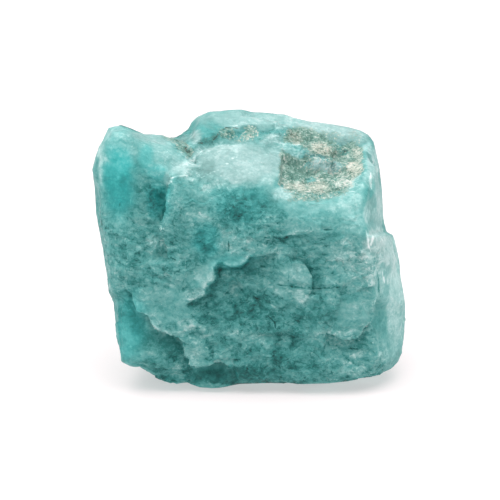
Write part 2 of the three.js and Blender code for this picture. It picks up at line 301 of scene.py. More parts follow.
def beside_line(line: Line, places: Array) -> tuple[Array, Array]:
    """Signed distance to an open line, and the distance along it to its nearer end.

    Each straight stretch gives its nearest point. The stretch with the least squared distance counts,
    less a thousandth of the squared distance across it, so that at a corner the stretch that is seen
    more squarely decides the side.

    Args:
        line: The line's points.
        places: (u, v) places.

    Returns:
        The signed distance, above zero on the line's right-hand side, and the distance to an end.
    """
    points = np.array(line)
    steps = np.diff(points, axis=0)
    lengths = np.hypot(steps[:, 0], steps[:, 1])
    before = np.concatenate([[0.0], np.cumsum(lengths)[:-1]])
    offset = places[:, None, :] - points[None, :-1, :]
    share = np.clip((offset * steps).sum(axis=2) / lengths**2, 0.0, 1.0)
    gap = offset - share[:, :, None] * steps
    distance = np.hypot(gap[:, :, 0], gap[:, :, 1])
    across = (offset[:, :, 0] * steps[:, 1] - offset[:, :, 1] * steps[:, 0]) / lengths
    best = np.argmin(distance**2 - 0.001 * across**2, axis=1)
    row = np.arange(len(places))
    along = before[best] + share[row, best] * lengths[best]
    side = np.sign(across[row, best]) * distance[row, best]
    return side, np.minimum(along, lengths.sum() - along)


@dataclass(frozen=True)
class Ledge:
    """An edge line, right of which the ground drops and then rises back to the face.

    The drop is reached across the wall and is made up again at the fade. It eases out over the ends.
    """

    sheet: Sheet
    drop: float
    fade: float
    line: Line
    wall: float = 0.3
    ends: float = 2.5

    def depth(self, places: Array) -> tuple[Array, Array]:
        """Depth of the lowered ground, and how close each place is to the edge itself.

        Args:
            places: (u, v) places on the ledge's sheet.

        Returns:
            The depth in millimetres, and the signed distance to the edge, set far where it runs out.
        """
        side, to_end = beside_line(self.line, places)
        present = smoothstep(to_end, 0.0, self.ends)
        lowered = smoothstep(side, 0.0, self.wall) * (1.0 - smoothstep(side, self.wall, self.fade))
        return self.drop * present * lowered, np.where(present > RUN_OUT, side, FAR)


@dataclass(frozen=True)
class Hollow:
    """A ring, inside which the ground lies lower."""

    sheet: Sheet
    drop: float
    wall: float
    middle: Point
    line: Line

    def depth(self, places: Array) -> tuple[Array, Array]:
        """Depth of the hollow's floor, and the signed distance inwards from its ring.

        Args:
            places: (u, v) places on the hollow's sheet.

        Returns:
            The depth in millimetres, and the distance from the ring, above zero inside it.
        """
        local = places - self.middle
        inwards = ring_radius(self.line, self.middle, local) - np.hypot(local[:, 0], local[:, 1])
        return self.drop * smoothstep(inwards, 0.0, self.wall), inwards


@dataclass(frozen=True)
class Cleft:
    """A narrow furrow along a line."""

    sheet: Sheet
    deep: float
    width: float
    line: Line
    ends: float = 2.5

    def depth(self, places: Array) -> tuple[Array, Array]:
        """Depth of the furrow, and the distance from its middle.

        Args:
            places: (u, v) places on the furrow's sheet.

        Returns:
            The depth in millimetres, and the distance from the line, set far where it runs out.
        """
        side, to_end = beside_line(self.line, places)
        present = smoothstep(to_end, 0.0, self.ends)
        distance = np.abs(side)
        depth = self.deep * present * (1.0 - smoothstep(distance, 0.0, self.width / 2))
        return depth, np.where(present > RUN_OUT, distance, FAR)


@dataclass(frozen=True)
class Patch:
    """A soft oval on the front sheet that pulls a value of the stone towards its own."""

    middle: Point
    radii: Point
    target: float
    turn: float = 0.0
    hold: ClassVar[float] = 0.85  # share of the way to its target that a patch pulls
    full_to: ClassVar[float] = 0.55  # in radii: whole up to here
    gone_at: ClassVar[float] = 1.35  # in radii: faded out from here on

    @classmethod
    def rows(cls, *rows: tuple[float, ...]) -> tuple[Patch, ...]:
        """Make patches from rows of numbers.

        Args:
            *rows: For each patch its middle's u and v, its two radii, its target, and its turn in
                degrees where it has one.

        Returns:
            The patches, in the order of the rows.
        """
        return tuple(cls((u, v), (wide, high), target, *turn) for u, v, wide, high, target, *turn in rows)

    def cover(self, places: Array) -> Array:
        """Share of each place that the patch covers: 1 inside, easing to 0 past its edge.

        The distance out is counted in the oval's own radii, after a turn of the axes.

        Args:
            places: (u, v) places on the front sheet.

        Returns:
            n shares between 0 and 1.
        """
        local = places - self.middle
        angle = math.radians(self.turn)
        along = local[:, 0] * math.cos(angle) + local[:, 1] * math.sin(angle)
        across = local[:, 1] * math.cos(angle) - local[:, 0] * math.sin(angle)
        out = np.hypot(along / self.radii[0], across / self.radii[1])
        return 1.0 - smoothstep(out, self.full_to, self.gone_at)

    def pull(self, values: Array, places: Array) -> Array:
        """Return the values after the patch has pulled them towards its target."""
        return values + (self.target - values) * self.hold * self.cover(places)


@dataclass(frozen=True)
class Border:
    """A line in the stone, right of which it is paler or darker, less so further away from the line."""

    change: float
    fade: float
    line: Line
    edge: ClassVar[float] = 0.15  # half of the width over which the tone changes
    ends: ClassVar[float] = 1.5  # length over which the line eases out at each end

    def shade(self, places: Array) -> Array:
        """Change of tone: the border's own, eased in across the line and out again towards its fade.

        Args:
            places: (u, v) places on the front sheet.

        Returns:
            n changes of tone.
        """
        side, to_end = beside_line(self.line, places)
        across = smoothstep(side, -self.edge, self.edge) * (1.0 - smoothstep(side, self.edge, self.fade))
        return self.change * across * smoothstep(to_end, 0.0, self.ends)


@dataclass(frozen=True)
class Thread:
    """A thin line in the stone on the front sheet, such as a pale vein or a dark crack."""

    width: float
    line: Line
    ends: ClassVar[float] = 1.2
    end_width: ClassVar[float] = 0.35  # share of its width that is left at its ends

    @classmethod
    def rows(cls, *rows: tuple) -> tuple[Thread, ...]:
        """Make threads from rows.

        Args:
            *rows: For each thread its width, and then the points of its line.

        Returns:
            The threads, in the order of the rows.
        """
        return tuple(cls(width, tuple(line)) for width, *line in rows)

    def reach(self, places: Array) -> Array:
        """Distance from the thread, counted in half widths, which shrink towards its two ends.

        Args:
            places: (u, v) places on the front sheet.

        Returns:
            n distances: below 1 on the thread.
        """
        side, to_end = beside_line(self.line, places)
        whole = smoothstep(to_end, 0.0, self.ends)
        half = self.width / 2 * (self.end_width + (1.0 - self.end_width) * whole)
        return np.abs(side) / half


# ---- The bare block ----


@dataclass(frozen=True)
class BareBlock:
    """The stone before any relief: cleavage faces and an outline, met by rays from the heart."""

    size: tuple[float, float, float] = (50.0, 34.0, 40.0)
    heart: tuple[float, float, float] = (0.0, 0.0, 19.0)
    rounding: float = 1.4
    faces: tuple[Plane, ...] = (
        ((0.0, -1.0, 0.03), (0.0, -16.5, 15.0)),  # broad face
        ((-0.42, -0.88, 0.22), (-13.3, -15.8, 24.0)),  # its left-hand wing
        ((-0.985, -0.08, -0.14), (-26.1, 0.0, 30.0)),  # left
        ((-0.72, 0.68, 0.05), (-20.5, 10.5, 20.0)),  # back left
        ((0.06, 0.99, 0.1), (0.0, 16.6, 18.0)),  # back
        ((0.75, 0.66, -0.06), (20.0, 10.8, 18.0)),  # back right
        ((0.985, 0.17, 0.02), (25.6, -4.6, 11.0)),  # right
        ((0.93, -0.37, 0.03), (25.4, -4.6, 11.0)),  # front right
        ((-0.05, 0.62, 0.78), (0.0, 13.3, 39.0)),  # crown
        ((0.5, 0.55, 0.67), (18.5, 14.0, 36.0)),  # back corner of the top
        ((0.05, 0.72, -0.69), (0.0, 14.2, 3.5)),  # under the back
        ((-0.6, 0.55, -0.58), (-18.0, 10.0, 4.5)),  # under the back left corner
        ((-0.3, 0.03, -0.95), (-8.5, 0.0, FOOT_LEVEL)),  # under the left
        ((0.17, 0.03, -0.97), (13.5, 0.0, FOOT_LEVEL)),  # under the right
        ((0.0, 0.0, -1.0), (0.0, 0.0, FOOT_LEVEL)),  # foot
    )
    left: int = 2  # which of the faces is the left-hand one
    top: Plane = ((0.185, -0.17, 1.0), (0.0, 0.0, 37.7))
    brow: Plane = ((0.13, -0.7, 0.71), (0.0, -12.0, 35.4))
    facet: Plane = ((0.152, -0.808, 0.569), (-9.7, -9.3, 37.9))
    crevice: Line = ((-14.6, 38.2), (-13.8, 37.4), (-11.1, 35.7), (-9.7, 33.4), (-12.9, 30), (-13.6, 26))
    crevice_width: float = 2.4
    horn_lift: float = 1.2
    outline_middle: Point = (0.0, 18.9)
    outline: Line = (
        (25.0, 9.9), (24.6, 12), (24.1, 14.5), (23.9, 17), (23.2, 20.3), (22.8, 21.3), (21.8, 21.8),
        (21.3, 24), (21.1, 28.6), (20.7, 32), (20.3, 34), (19.8, 36.2), (19, 37.5), (18, 38.2), (16, 38.9),
        (13.2, 39.3), (9.2, 39.7), (6.9, 40.3), (5.6, 41.1), (2, 41.5), (-2.9, 41.3), (-6.6, 41.4),
        (-8.4, 40.6), (-9.5, 39.3), (-10, 38.3), (-11, 37.5), (-11.9, 37), (-13, 36.9), (-14.4, 37.2),
        (-17, 37.3), (-18.2, 37.7), (-19.2, 38.1), (-20.6, 38.7), (-21.6, 38.7), (-22.7, 38.4),
        (-23.5, 36.6), (-24.3, 35.2), (-24.9, 33.4), (-25.3, 31.7), (-24.9, 28.6), (-24.8, 24.8),
        (-24.3, 21.9), (-23.7, 19), (-23.3, 16), (-22.7, 13), (-21.9, 10.3), (-21.6, 7), (-21.1, 4),
        (-20.5, 1), (-19.3, 0.5), (-17.6, 0.2), (-16.4, -0.7), (-13.7, -2.3), (-12, -2.9),
        (-10.3, -2.7), (-8.3, -3.6), (-6.3, -3.8), (-4.9, -3.7), (-1.6, -2.9), (3.8, -2.7), (8.5, -2.7),
        (12.6, -2.5), (16, -2), (20, -1.3), (22.5, -0.2), (23.9, 0.9), (24.7, 2.1), (25, 4.5), (25.1, 6.5),
    )
    rim_start: float = -12.0
    rim_slope: float = 0.66
    rim_slope_at_left: float = 0.34
    full_slope_from: float = -8.0
    left_slope_to: float = -22.0
    taper_to_front: float = 0.12
    taper_to_back: float = 0.2
    flared: float = 8.0  # height at which the taper to the back is reached in full
    search: Span = (4.0, 60.0)  # stretch of every ray that holds its crossing
    halvings: int = 26
    probe: float = 0.4  # distance each way over which a slope is taken

    def behind_rim(self, points: Array) -> Array:
        """Distance in y behind the slanting rim on which the outline is met.

        The rim lies at y = start + slope * z, with a slope that eases off towards the left-hand end.

        Args:
            points: n by 3 places.

        Returns:
            n distances, below zero in front of the rim.
        """
        share = (points[:, 0] - self.left_slope_to) / (self.full_slope_from - self.left_slope_to)
        slope = self.rim_slope_at_left + np.clip(share, 0, 1) * (self.rim_slope - self.rim_slope_at_left)
        return points[:, 1] - self.rim_start - points[:, 2] * slope

    @staticmethod
    def beyond(plane: Plane, points: Array) -> Array:
        """Return how far points are beyond a plane: its unit normal times the way from its point."""
        normal, through = (np.array(part) for part in plane)
        return (points - through) @ (normal / np.linalg.norm(normal))

    def inside_left(self, points: Array) -> Array:
        """Return the distance of points inside the left-hand face."""
        return -self.beyond(self.faces[self.left], points)

    def outside(self, points: Array) -> Array:
        """How far points are outside the block: the rounded maximum over its faces and its outline.

        The outline draws in by a taper on both sides of the rim. Left of the crevice the top lies higher
        and a steeper facet takes the place of the brow. Two values within one rounding of each other are
        blended by the square of their overlap.

        Args:
            points: n by 3 places.

        Returns:
            n distances, below zero inside.
        """
        places = Sheet.FRONT.flatten(points)
        local = places - self.outline_middle
        behind = self.behind_rim(points)
        to_back = self.taper_to_back * smoothstep(points[:, 2], 0.0, self.flared)
        drawn_in = np.where(behind > 0, behind * to_back, -behind * self.taper_to_front)
        radius = ring_radius(self.outline, self.outline_middle, local)
        most = np.hypot(local[:, 0], local[:, 1]) - radius + drawn_in
        half = self.crevice_width / 2
        horn = smoothstep(beside_line(self.crevice, places)[0], -half, half)
        top = self.beyond(self.top, points) - self.horn_lift * horn
        brow = self.beyond(self.brow, points) * (1 - horn) + self.beyond(self.facet, points) * horn
        for past in [top, brow] + [self.beyond(face, points) for face in self.faces]:
            overlap = np.maximum(self.rounding - np.abs(most - past), 0.0)
            most = np.maximum(most, past) + overlap**2 / (4 * self.rounding)
        return most

    def surface_along(self, directions: Array) -> Array:
        """Find where rays from the heart leave the block, by halving the stretch that holds each crossing.

        Args:
            directions: Unit directions of the rays.

        Returns:
            One place for each ray.
        """
        inner, outer = (np.full(len(directions), distance) for distance in self.search)
        for _ in range(self.halvings):
            middle = (inner + outer) / 2
            out = self.outside(np.array(self.heart) + directions * middle[:, None]) > 0
            outer = np.where(out, middle, outer)
            inner = np.where(out, inner, middle)
        return np.array(self.heart) + directions * inner[:, None]

    def normals(self, points: Array) -> Array:
        """Outward normals: the slope of the distance outside, over one probe each way.

        Args:
            points: n by 3 places on the surface.

        Returns:
            Unit normals.
        """
        steps = self.probe * np.eye(3)
        slopes = [self.outside(points + step) - self.outside(points - step) for step in steps]
        slope = np.stack(slopes, axis=1)
        return slope / np.linalg.norm(slope, axis=1, keepdims=True)


@dataclass(frozen=True)
class Skin:
    """The bare block's surface along every ray, with all that the relief and the colours ask of it."""

    points: Array
    normal: Array
    front: Array
    facing: Array
    behind: Array
    from_left: Array
    ragged: Array
    rim_band: ClassVar[Span] = (0.5, 4.0)
    seen_from: ClassVar[Span] = (0.05, 0.25)
    coloured_from: ClassVar[Span] = (-0.12, 0.02)
    left_margin: ClassVar[float] = 7.0
    ragged_size: ClassVar[float] = 2.6
    ragged_shifts: ClassVar[tuple[float, float]] = (40.0, 80.0)

    @classmethod
    def along(cls, block: BareBlock, directions: Array, noise: GrainNoise) -> Skin:
        """Survey the bare block along rays.

        Args:
            block: The bare block.
            directions: Unit directions of the rays from its heart.
            noise: Noise for the raggedness of lines.

        Returns:
            The surface.
        """
        points = block.surface_along(directions)
        normal = block.normals(points)
        ragged = [noise.layered(points + shift, cls.ragged_size, 3, 0.6) for shift in cls.ragged_shifts]
        return cls(
            points,
            normal,
            front=Sheet.FRONT.flatten(points),
            facing=Sheet.FRONT.facing(normal),
            behind=block.behind_rim(points),
            from_left=np.clip(block.inside_left(points) / cls.left_margin, 0.0, 1.0),
            ragged=np.stack(ragged, axis=1),
        )

    def off_rim(self) -> Array:
        """Return 0 along the rim, easing to 1 away from it."""
        return smoothstep(np.abs(self.behind), *self.rim_band)

    def seen(self) -> Array:
        """Return 1 where the front sheet is seen well enough to be drawn on."""
        return smoothstep(self.facing, *self.seen_from)

    def coloured(self) -> Array:
        """Return 1 where the front sheet's colours are laid, a little further round than it is seen."""
        return smoothstep(self.facing, *self.coloured_from)


# ---- Relief ----


@dataclass(frozen=True)
class ChipLayer:
    """One layer of little cleavage chips, all in millimetres."""

    size: float
    shift: float
    rise: float
    level: float


@dataclass(frozen=True)
class Relief:
    """Everything that is let into the bare block, from the main ledges down to broken grain."""

    ledges: tuple[Ledge, ...] = (
        # foot of the hump
        Ledge(Sheet.FRONT, 0.45, 1.4, ((-10.3, 34.4), (-9.6, 35.3), (-8.4, 35.7), (-6.6, 36.1),
              (-5.4, 36.6), (-4.9, 37.4), (-4.1, 38.2)), wall=0.6, ends=1.5),
        Ledge(Sheet.FRONT, 1, 3.4, ((-5.1, 37), (-4.9, 37.6), (-4, 38.3), (-1.5, 38.7), (1.8, 38.8),
              (4.6, 38.6)), wall=1.4),
        # left-hand edge of the main slab
        Ledge(Sheet.FRONT, 2.4, 7, ((-12.4, 31), (-12.8, 30), (-13.1, 28.5), (-13.1, 26.4), (-13.2, 24.9),
              (-14.2, 23.7), (-14.5, 22.8), (-13.9, 21.4), (-13.8, 20), (-13.5, 18.5), (-13.4, 16.6)),
              ends=1.6),
        # thinner sheets of the broad face
        Ledge(Sheet.FRONT, 0.45, 3.5, ((-5.8, 27.5), (-7.3, 26.3), (-8.4, 26.3), (-9.2, 26.9),
              (-9.6, 26.4), (-11.1, 25.9))),
        Ledge(Sheet.FRONT, 0.6, 4, ((1.6, 20.2), (3.6, 20.9), (5.4, 21), (6, 21.3), (8.9, 21.6),
              (10.4, 22.3))),
        # tongue
        Ledge(Sheet.FRONT, 1.9, 10, ((-11, 9.9), (-8.9, 11.1), (-8.1, 11.2), (-7.1, 11.9), (-7, 13),
              (-6.2, 13.6), (-5.8, 15.8), (-5.5, 16.4), (-2.1, 16.1), (-1.2, 16.4), (-0.1, 17.8),
              (1, 17.8), (2.7, 18.4), (5, 18.8))),
        # flake
        Ledge(Sheet.FRONT, 0.8, 3, ((9.5, 11.4), (9.7, 12.9), (9.7, 14.1), (9.4, 15.3), (8.6, 16.6),
              (7.6, 17.1), (6, 16.7)), ends=1.2),
        # lower left-hand edge
        Ledge(Sheet.FRONT, 2.7, 10, ((-20.6, 13.4), (-19.3, 11.5), (-18.6, 8.9), (-17.6, 8.4),
              (-16.8, 7.8), (-16.5, 6.9), (-15.6, 6.1), (-14.5, 5.5), (-11.7, 4.6), (-11, 4),
              (-10.7, 2.9), (-10.6, 1.7), (-10, 1.3), (-9.9, 0.5), (-8.8, 0.2), (-5.1, 0.5), (-3.4, -0.3),
              (-2.4, 0.2))),
        # lower right-hand edge
        Ledge(Sheet.FRONT, 1.3, 6, ((11.8, 5.4), (13, 5.1), (14.4, 4.6), (17.5, 4.5), (18, 5.1),
              (18.7, 6.1), (20, 7.6), (20, 9.6), (20.3, 11.5))),
        # upright sheets on the right-hand side
        Ledge(Sheet.RIGHT, 1.5, 9, ((-1.5, 2), (-2.2, 9), (-1.1, 16), (-2.4, 22))),
        Ledge(Sheet.RIGHT, 0.6, 7, ((5.5, 36), (6.4, 27), (4.8, 18), (6, 9), (5, 4))),
        # back
        Ledge(Sheet.BACK, 1.9, 12, ((-19, 27), (-12, 29.5), (-6, 27.2), (0, 28.6), (6, 24.4), (13, 25.6),
              (19, 22))),
        Ledge(Sheet.BACK, 1.5, 9, ((2.5, 3), (1.2, 9), (3.4, 13), (1.8, 19), (3, 25))),
        Ledge(Sheet.BACK, 1.2, 7, ((-17, 13), (-11, 11.4), (-8.6, 13.2), (-3, 12))),
        # left-hand end
        Ledge(Sheet.LEFT, 1.4, 8, ((-13, 24), (-8, 21.5), (-4.6, 22.6), (0.5, 18), (5, 17))),
        Ledge(Sheet.LEFT, 1.1, 6, ((-7, 5), (-5.4, 10), (-6.4, 14), (-5, 18))),
        # top, behind the hump
        Ledge(Sheet.TOP, 1.2, 6, ((17, 4.5), (12, 6.4), (8, 5.6), (4.5, 8), (-2, 8.6))),
        # thin sheets, too fine for the solid
        Ledge(Sheet.FRONT, 0.5, 2.6, ((2, 35.9), (5, 35.2), (7.9, 34.4), (10.2, 33.6), (12.8, 33.2)),
              ends=1.2),
        Ledge(Sheet.FRONT, 0.2, 2.2, ((-8.6, 28.4), (-6.5, 29.6), (-4.6, 30.4)), ends=1),
        Ledge(Sheet.FRONT, 0.3, 1.4, ((4.2, 14.2), (6.3, 13.9), (8.2, 13.8), (10.2, 13.4)), ends=0.8),
        Ledge(Sheet.FRONT, 0.6, 2.4, ((-6.8, 0.9), (-6.9, 2.6), (-7.8, 3.7), (-9, 4.7), (-10.2, 5.1)),
              ends=1),
    )
    hollows: tuple[Hollow, ...] = (
        # the three stained hollows
        Hollow(Sheet.FRONT, 0.6, 1.4, (9, 37), ((5.2, 38), (8, 38.7), (11.6, 38.1), (14.2, 36.6),
               (12.6, 35.2), (9, 35.6), (6, 36.4))),
        Hollow(Sheet.FRONT, 1.3, 0.8, (10.4, 30.4), ((4.7, 33.8), (4.6, 29.4), (5.8, 28.2), (7.6, 26.9),
               (9, 26.2), (12.2, 26.2), (13.9, 27), (16.4, 28.7), (17.8, 31), (16.6, 32.6), (13.4, 33.4),
               (10.2, 33.3), (7.6, 34), (5.8, 34.3))),
        Hollow(Sheet.FRONT, 1, 0.8, (15.6, 33.4), ((13, 34.4), (14.2, 35.8), (16.4, 36.4), (18.2, 35.4),
               (18.4, 32.6), (17.2, 30.4), (14.6, 31), (13.2, 32.8))),
        # deep corner beside the main slab
        Hollow(Sheet.FRONT, 1.3, 1.5, (-14.3, 26.4), ((-12.9, 29.2), (-14.2, 29.6), (-16.4, 29.2),
               (-16.2, 25.6), (-15.4, 23), (-14.2, 22), (-13, 25))),
        # lower part of the broad face
        Hollow(Sheet.FRONT, 1.1, 1.6, (-3.4, 11), ((-0.6, 12.2), (-2.6, 14.6), (-5, 13.4), (-5.6, 10.4),
               (-3.6, 8), (-1, 8.8))),
        Hollow(Sheet.FRONT, 0.9, 1.4, (6.4, 3.4), ((9.4, 4.4), (6.8, 6.4), (3.6, 5), (3.4, 2), (6.6, 0.8),
               (9, 1.8))),
        # back and left-hand end
        Hollow(Sheet.BACK, 1.3, 1.4, (12, 13), ((17, 14), (13.4, 18.6), (8, 16), (7.4, 11), (11, 8),
               (16, 9.4))),
        Hollow(Sheet.LEFT, 1.2, 1.4, (3.4, 29), ((8, 29.4), (5, 33), (0.6, 32), (-1, 27.6), (2.6, 24.6),
               (7, 26))),
    )
    clefts: tuple[Cleft, ...] = (
        # fine furrows of the broad face
        Cleft(Sheet.FRONT, 0.3, 0.9, ((10.8, 22.2), (12, 22.1), (13.2, 22.3)), ends=0.6),
        Cleft(Sheet.FRONT, 0.25, 0.8, ((19.2, 30.6), (19, 28.5), (19.4, 25.5), (19.3, 22)), ends=1.5),
        # bottom of the crevice
        Cleft(Sheet.FRONT, 0.5, 1.6, ((-12.6, 37.4), (-11.6, 36.5), (-10.6, 35.4), (-9.9, 34.2),
              (-9.8, 33)), ends=1.2),
        # beside the lower right-hand block
        Cleft(Sheet.FRONT, 0.7, 1.5, ((20.2, 18.6), (20.9, 15.8), (20.7, 14.1), (21.2, 11), (21.2, 8),
              (20.8, 5))),
        # back and right-hand side
        Cleft(Sheet.BACK, 1.4, 2.6, ((-12, 38), (-9.6, 33), (-10.4, 28))),
        Cleft(Sheet.RIGHT, 1, 2.2, ((10, 30), (10.6, 20), (9.6, 11))),
    )
    smooth: tuple[Patch, ...] = Patch.rows(
        # wing
        (-21.5, 31.3, 4.2, 8, 0.8),
        # lower left corner
        (-19.6, 5.2, 3.2, 6.7, 0.7), (-14.5, 3.6, 5.4, 2.6, 0.6, -30),
        # facet
        (-14.8, 33.6, 5.1, 3.2, 0.95, -38),
        # hump
        (-1.7, 40, 9.9, 2.2, 1), (-7.3, 38.9, 2.6, 2.9, 1), (-3, 37.1, 3.2, 1.6, 0.8),
        (11.9, 38.4, 7, 1.6, 1, -8),
        # terrace
        (-0.7, 32.3, 7.7, 3.5, 0.9),
        # brow and the upper part of the broad face
        (11.4, 26.2, 9.3, 2.6, 0.9), (3.1, 28.4, 4.8, 1.6, 0.8), (12.7, 22.7, 8, 2.2, 0.5),
        (-8.7, 28.1, 3.8, 1.9, 0.5),
        # right-hand side
        (19.4, 28.4, 2.2, 10.6, 1), (23.1, 12.5, 2.6, 12.2, 0.95), (16.6, 8.9, 3.5, 3.5, 0.6),
        # middle and lower part of the broad face
        (-13.7, 9.9, 4.8, 3.2, 0.6), (-3.3, 16.6, 4.2, 1.4, 0.7), (-7.3, 14.4, 1.6, 2.6, 0.8),
        (7.4, 15.3, 2.6, 1.9, 0.5),
        # under the slab
        (-6.2, -1.3, 5.4, 1.9, 0.8),
    )
    chips: tuple[ChipLayer, ...] = (
        ChipLayer(size=3.4, shift=0.0, rise=0.12, level=0.05),
        ChipLayer(size=1.3, shift=31.0, rise=0.16, level=0.03),
    )
    # How the marks run raggedly, and where they fade out.
    front_wander: float = 0.12
    other_wander: float = 0.45
    turned_from: Span = (0.4, 0.85)
    sharp_from: float = 0.5
    sharp_share: float = 0.3
    # Low swells and, behind the rim, cleavage terraces.
    swell_height: float = 0.55
    swell_length: float = 15.0
    rough_height: float = 0.16
    rough_length: float = 5.5
    terrace_relief: float = 1.1
    terrace_length: float = 30.0
    terrace_step: float = 0.8
    terraces_behind: Span = (1.0, 7.0)
    # How broken the skin is: at most, above the middle, on smooth zones and along the rim.
    broken_most: float = 0.75
    calmer_above: Span = (20.0, 26.0)
    calmer_by: float = 0.3
    smoothing: float = 0.8
    left_at_rim: float = 0.2
    calm_rim: Span = (0.3, 2.5)
    # Thin sheets cut out of a wandering height, chips warped by the raggedness, and grain.
    wander_height: float = 0.5
    wander_size: float = 9.0
    wander_kept: float = 0.45
    sheet_climb: float = 0.05
    sheet_step: float = 0.3
    sheet_wall: float = 0.12
    sheet_height: float = 0.8
    chip_warp: float = 0.5
    grain_height: float = 0.07
    grain_size: float = 1.2
    crust_height: float = 0.16
    crust_size: float = 0.9
    crust_shift: float = 7.0
    # How far anything may stand proud of the bare block, and where the relief ends above the foot.
    proud_at_rim: float = 0.05
    proud_elsewhere: float = 0.5
    proud_band: Span = (0.5, 3.0)
    flattened: Span = (0.2, 2.5)

    def marks(self, skin: Skin) -> tuple[Array, Array]:
        """Cut all ledges, hollows and clefts.

        A mark on the front sheet counts where it is seen, less so towards the left-hand face. A mark on
        another sheet fades out at the rim, and where the face turns away from its sheet.

        Args:
            skin: The bare block's surface.

        Returns:
            The depth in millimetres, and the signed distance to the nearest edge of a sharp ledge.
        """
        depth = np.zeros(len(skin.points))
        crest = np.full(len(skin.points), FAR)
        for mark in self.ledges + self.hollows + self.clefts:
            if mark.sheet is Sheet.FRONT:
                share, wander = skin.seen() * skin.from_left, self.front_wander
            else:
                turned = smoothstep(mark.sheet.facing(skin.normal), *self.turned_from)
                share, wander = skin.off_rim() * turned, self.other_wander
            cut, distance = mark.depth(mark.sheet.flatten(skin.points) + skin.ragged * wander)
            depth += share * cut
            if isinstance(mark, Ledge) and mark.drop > self.sharp_from:
                near = np.where(share > self.sharp_share, distance, FAR)
                crest = np.where(np.abs(near) < np.abs(crest), near, crest)
        return depth, crest

    def swells(self, skin: Skin) -> Array:
        """Low swells and lower unevenness, away from the rim.

        Args:
            skin: The bare block's surface.

        Returns:
            n depths in millimetres, of both signs.
        """
        swell = self.swell_height * waves(skin.points, self.swell_length)
        return skin.off_rim() * (swell + self.rough_height * waves(skin.points, self.rough_length))

    def terraces(self, skin: Skin) -> Array:
        """Cleavage terraces on the top and the back, behind the rim.

        Args:
            skin: The bare block's surface.

        Returns:
            n depths in millimetres.
        """
        smooth = self.terrace_relief * (1 + waves(skin.points, self.terrace_length))
        return smoothstep(skin.behind, *self.terraces_behind) * stepped(smooth, self.terrace_step)

    def broken(self, skin: Skin, smooth: Array) -> Array:
        """How broken the skin is.

        The product of three shares: one that smooth zones lower, one that the rim lowers, so that the
        outline stays, and one that is less in the upper part of the front sheet.

        Args:
            skin: The bare block's surface.
            smooth: How smooth the stone is at each place.

        Returns:
            n shares between 0 and 1.
        """
        off_rim = smoothstep(np.abs(skin.behind), *self.calm_rim)
        broken = (1.0 - self.smoothing * smooth) * (self.left_at_rim + (1.0 - self.left_at_rim) * off_rim)
        return broken * (self.broken_most - self.calmer_by * smoothstep(skin.front[:, 1], *self.calmer_above))

    def thin_sheets(self, skin: Skin, noise: GrainNoise) -> Array:
        """Thin cleavage sheets: a wandering height's difference from its steps, and some of the height.

        Args:
            skin: The bare block's surface.
            noise: Noise to draw on.

        Returns:
            n depths in millimetres, of both signs.
        """
        wander = self.wander_height * noise.layered(skin.points * (1.0, 1.0, 1.2), self.wander_size, 5, 0.55)
        height = wander + self.sheet_climb * skin.points[:, 2]
        steps = stepped(height, self.sheet_step, self.sheet_wall) - height + 0.5 * self.sheet_step
        return self.sheet_height * steps + self.wander_kept * wander

    def chipped(self, skin: Skin, noise: ChipNoise) -> tuple[Array, list[Array]]:
        """Layers of little cleavage chips, on places that are squeezed upright and warped.

        Args:
            skin: The bare block's surface.
            noise: Chips to draw on.

        Returns:
            n depths in millimetres, of both signs, and the chips' own levels, layer by layer.
        """
        warp = np.array([[1.0, 0.4, 0.3], [-0.3, 0.5, 1.0]])
        warped = skin.points * (1.0, 1.0, 1.3) + self.chip_warp * skin.ragged @ warp
        depth, levels = np.zeros(len(warped)), []
        for layer in self.chips:
            level, rise = noise.at(warped + layer.shift, layer.size)
            depth += layer.rise * rise
            depth += layer.level * level
            levels.append(level)
        return depth, levels

    def held_in(self, depth: Array, skin: Skin) -> Array:
        """Limit how far the surface stands proud of the bare block, and keep the foot flat.

        Args:
            depth: Depth of all relief in millimetres.
            skin: The bare block's surface.

        Returns:
            The depth that counts.
        """
        proud = -self.proud_at_rim - self.proud_elsewhere * smoothstep(np.abs(skin.behind), *self.proud_band)
        return np.maximum(depth, proud) * smoothstep(skin.points[:, 2] - FOOT_LEVEL, *self.flattened)


# ---- Colouring ----


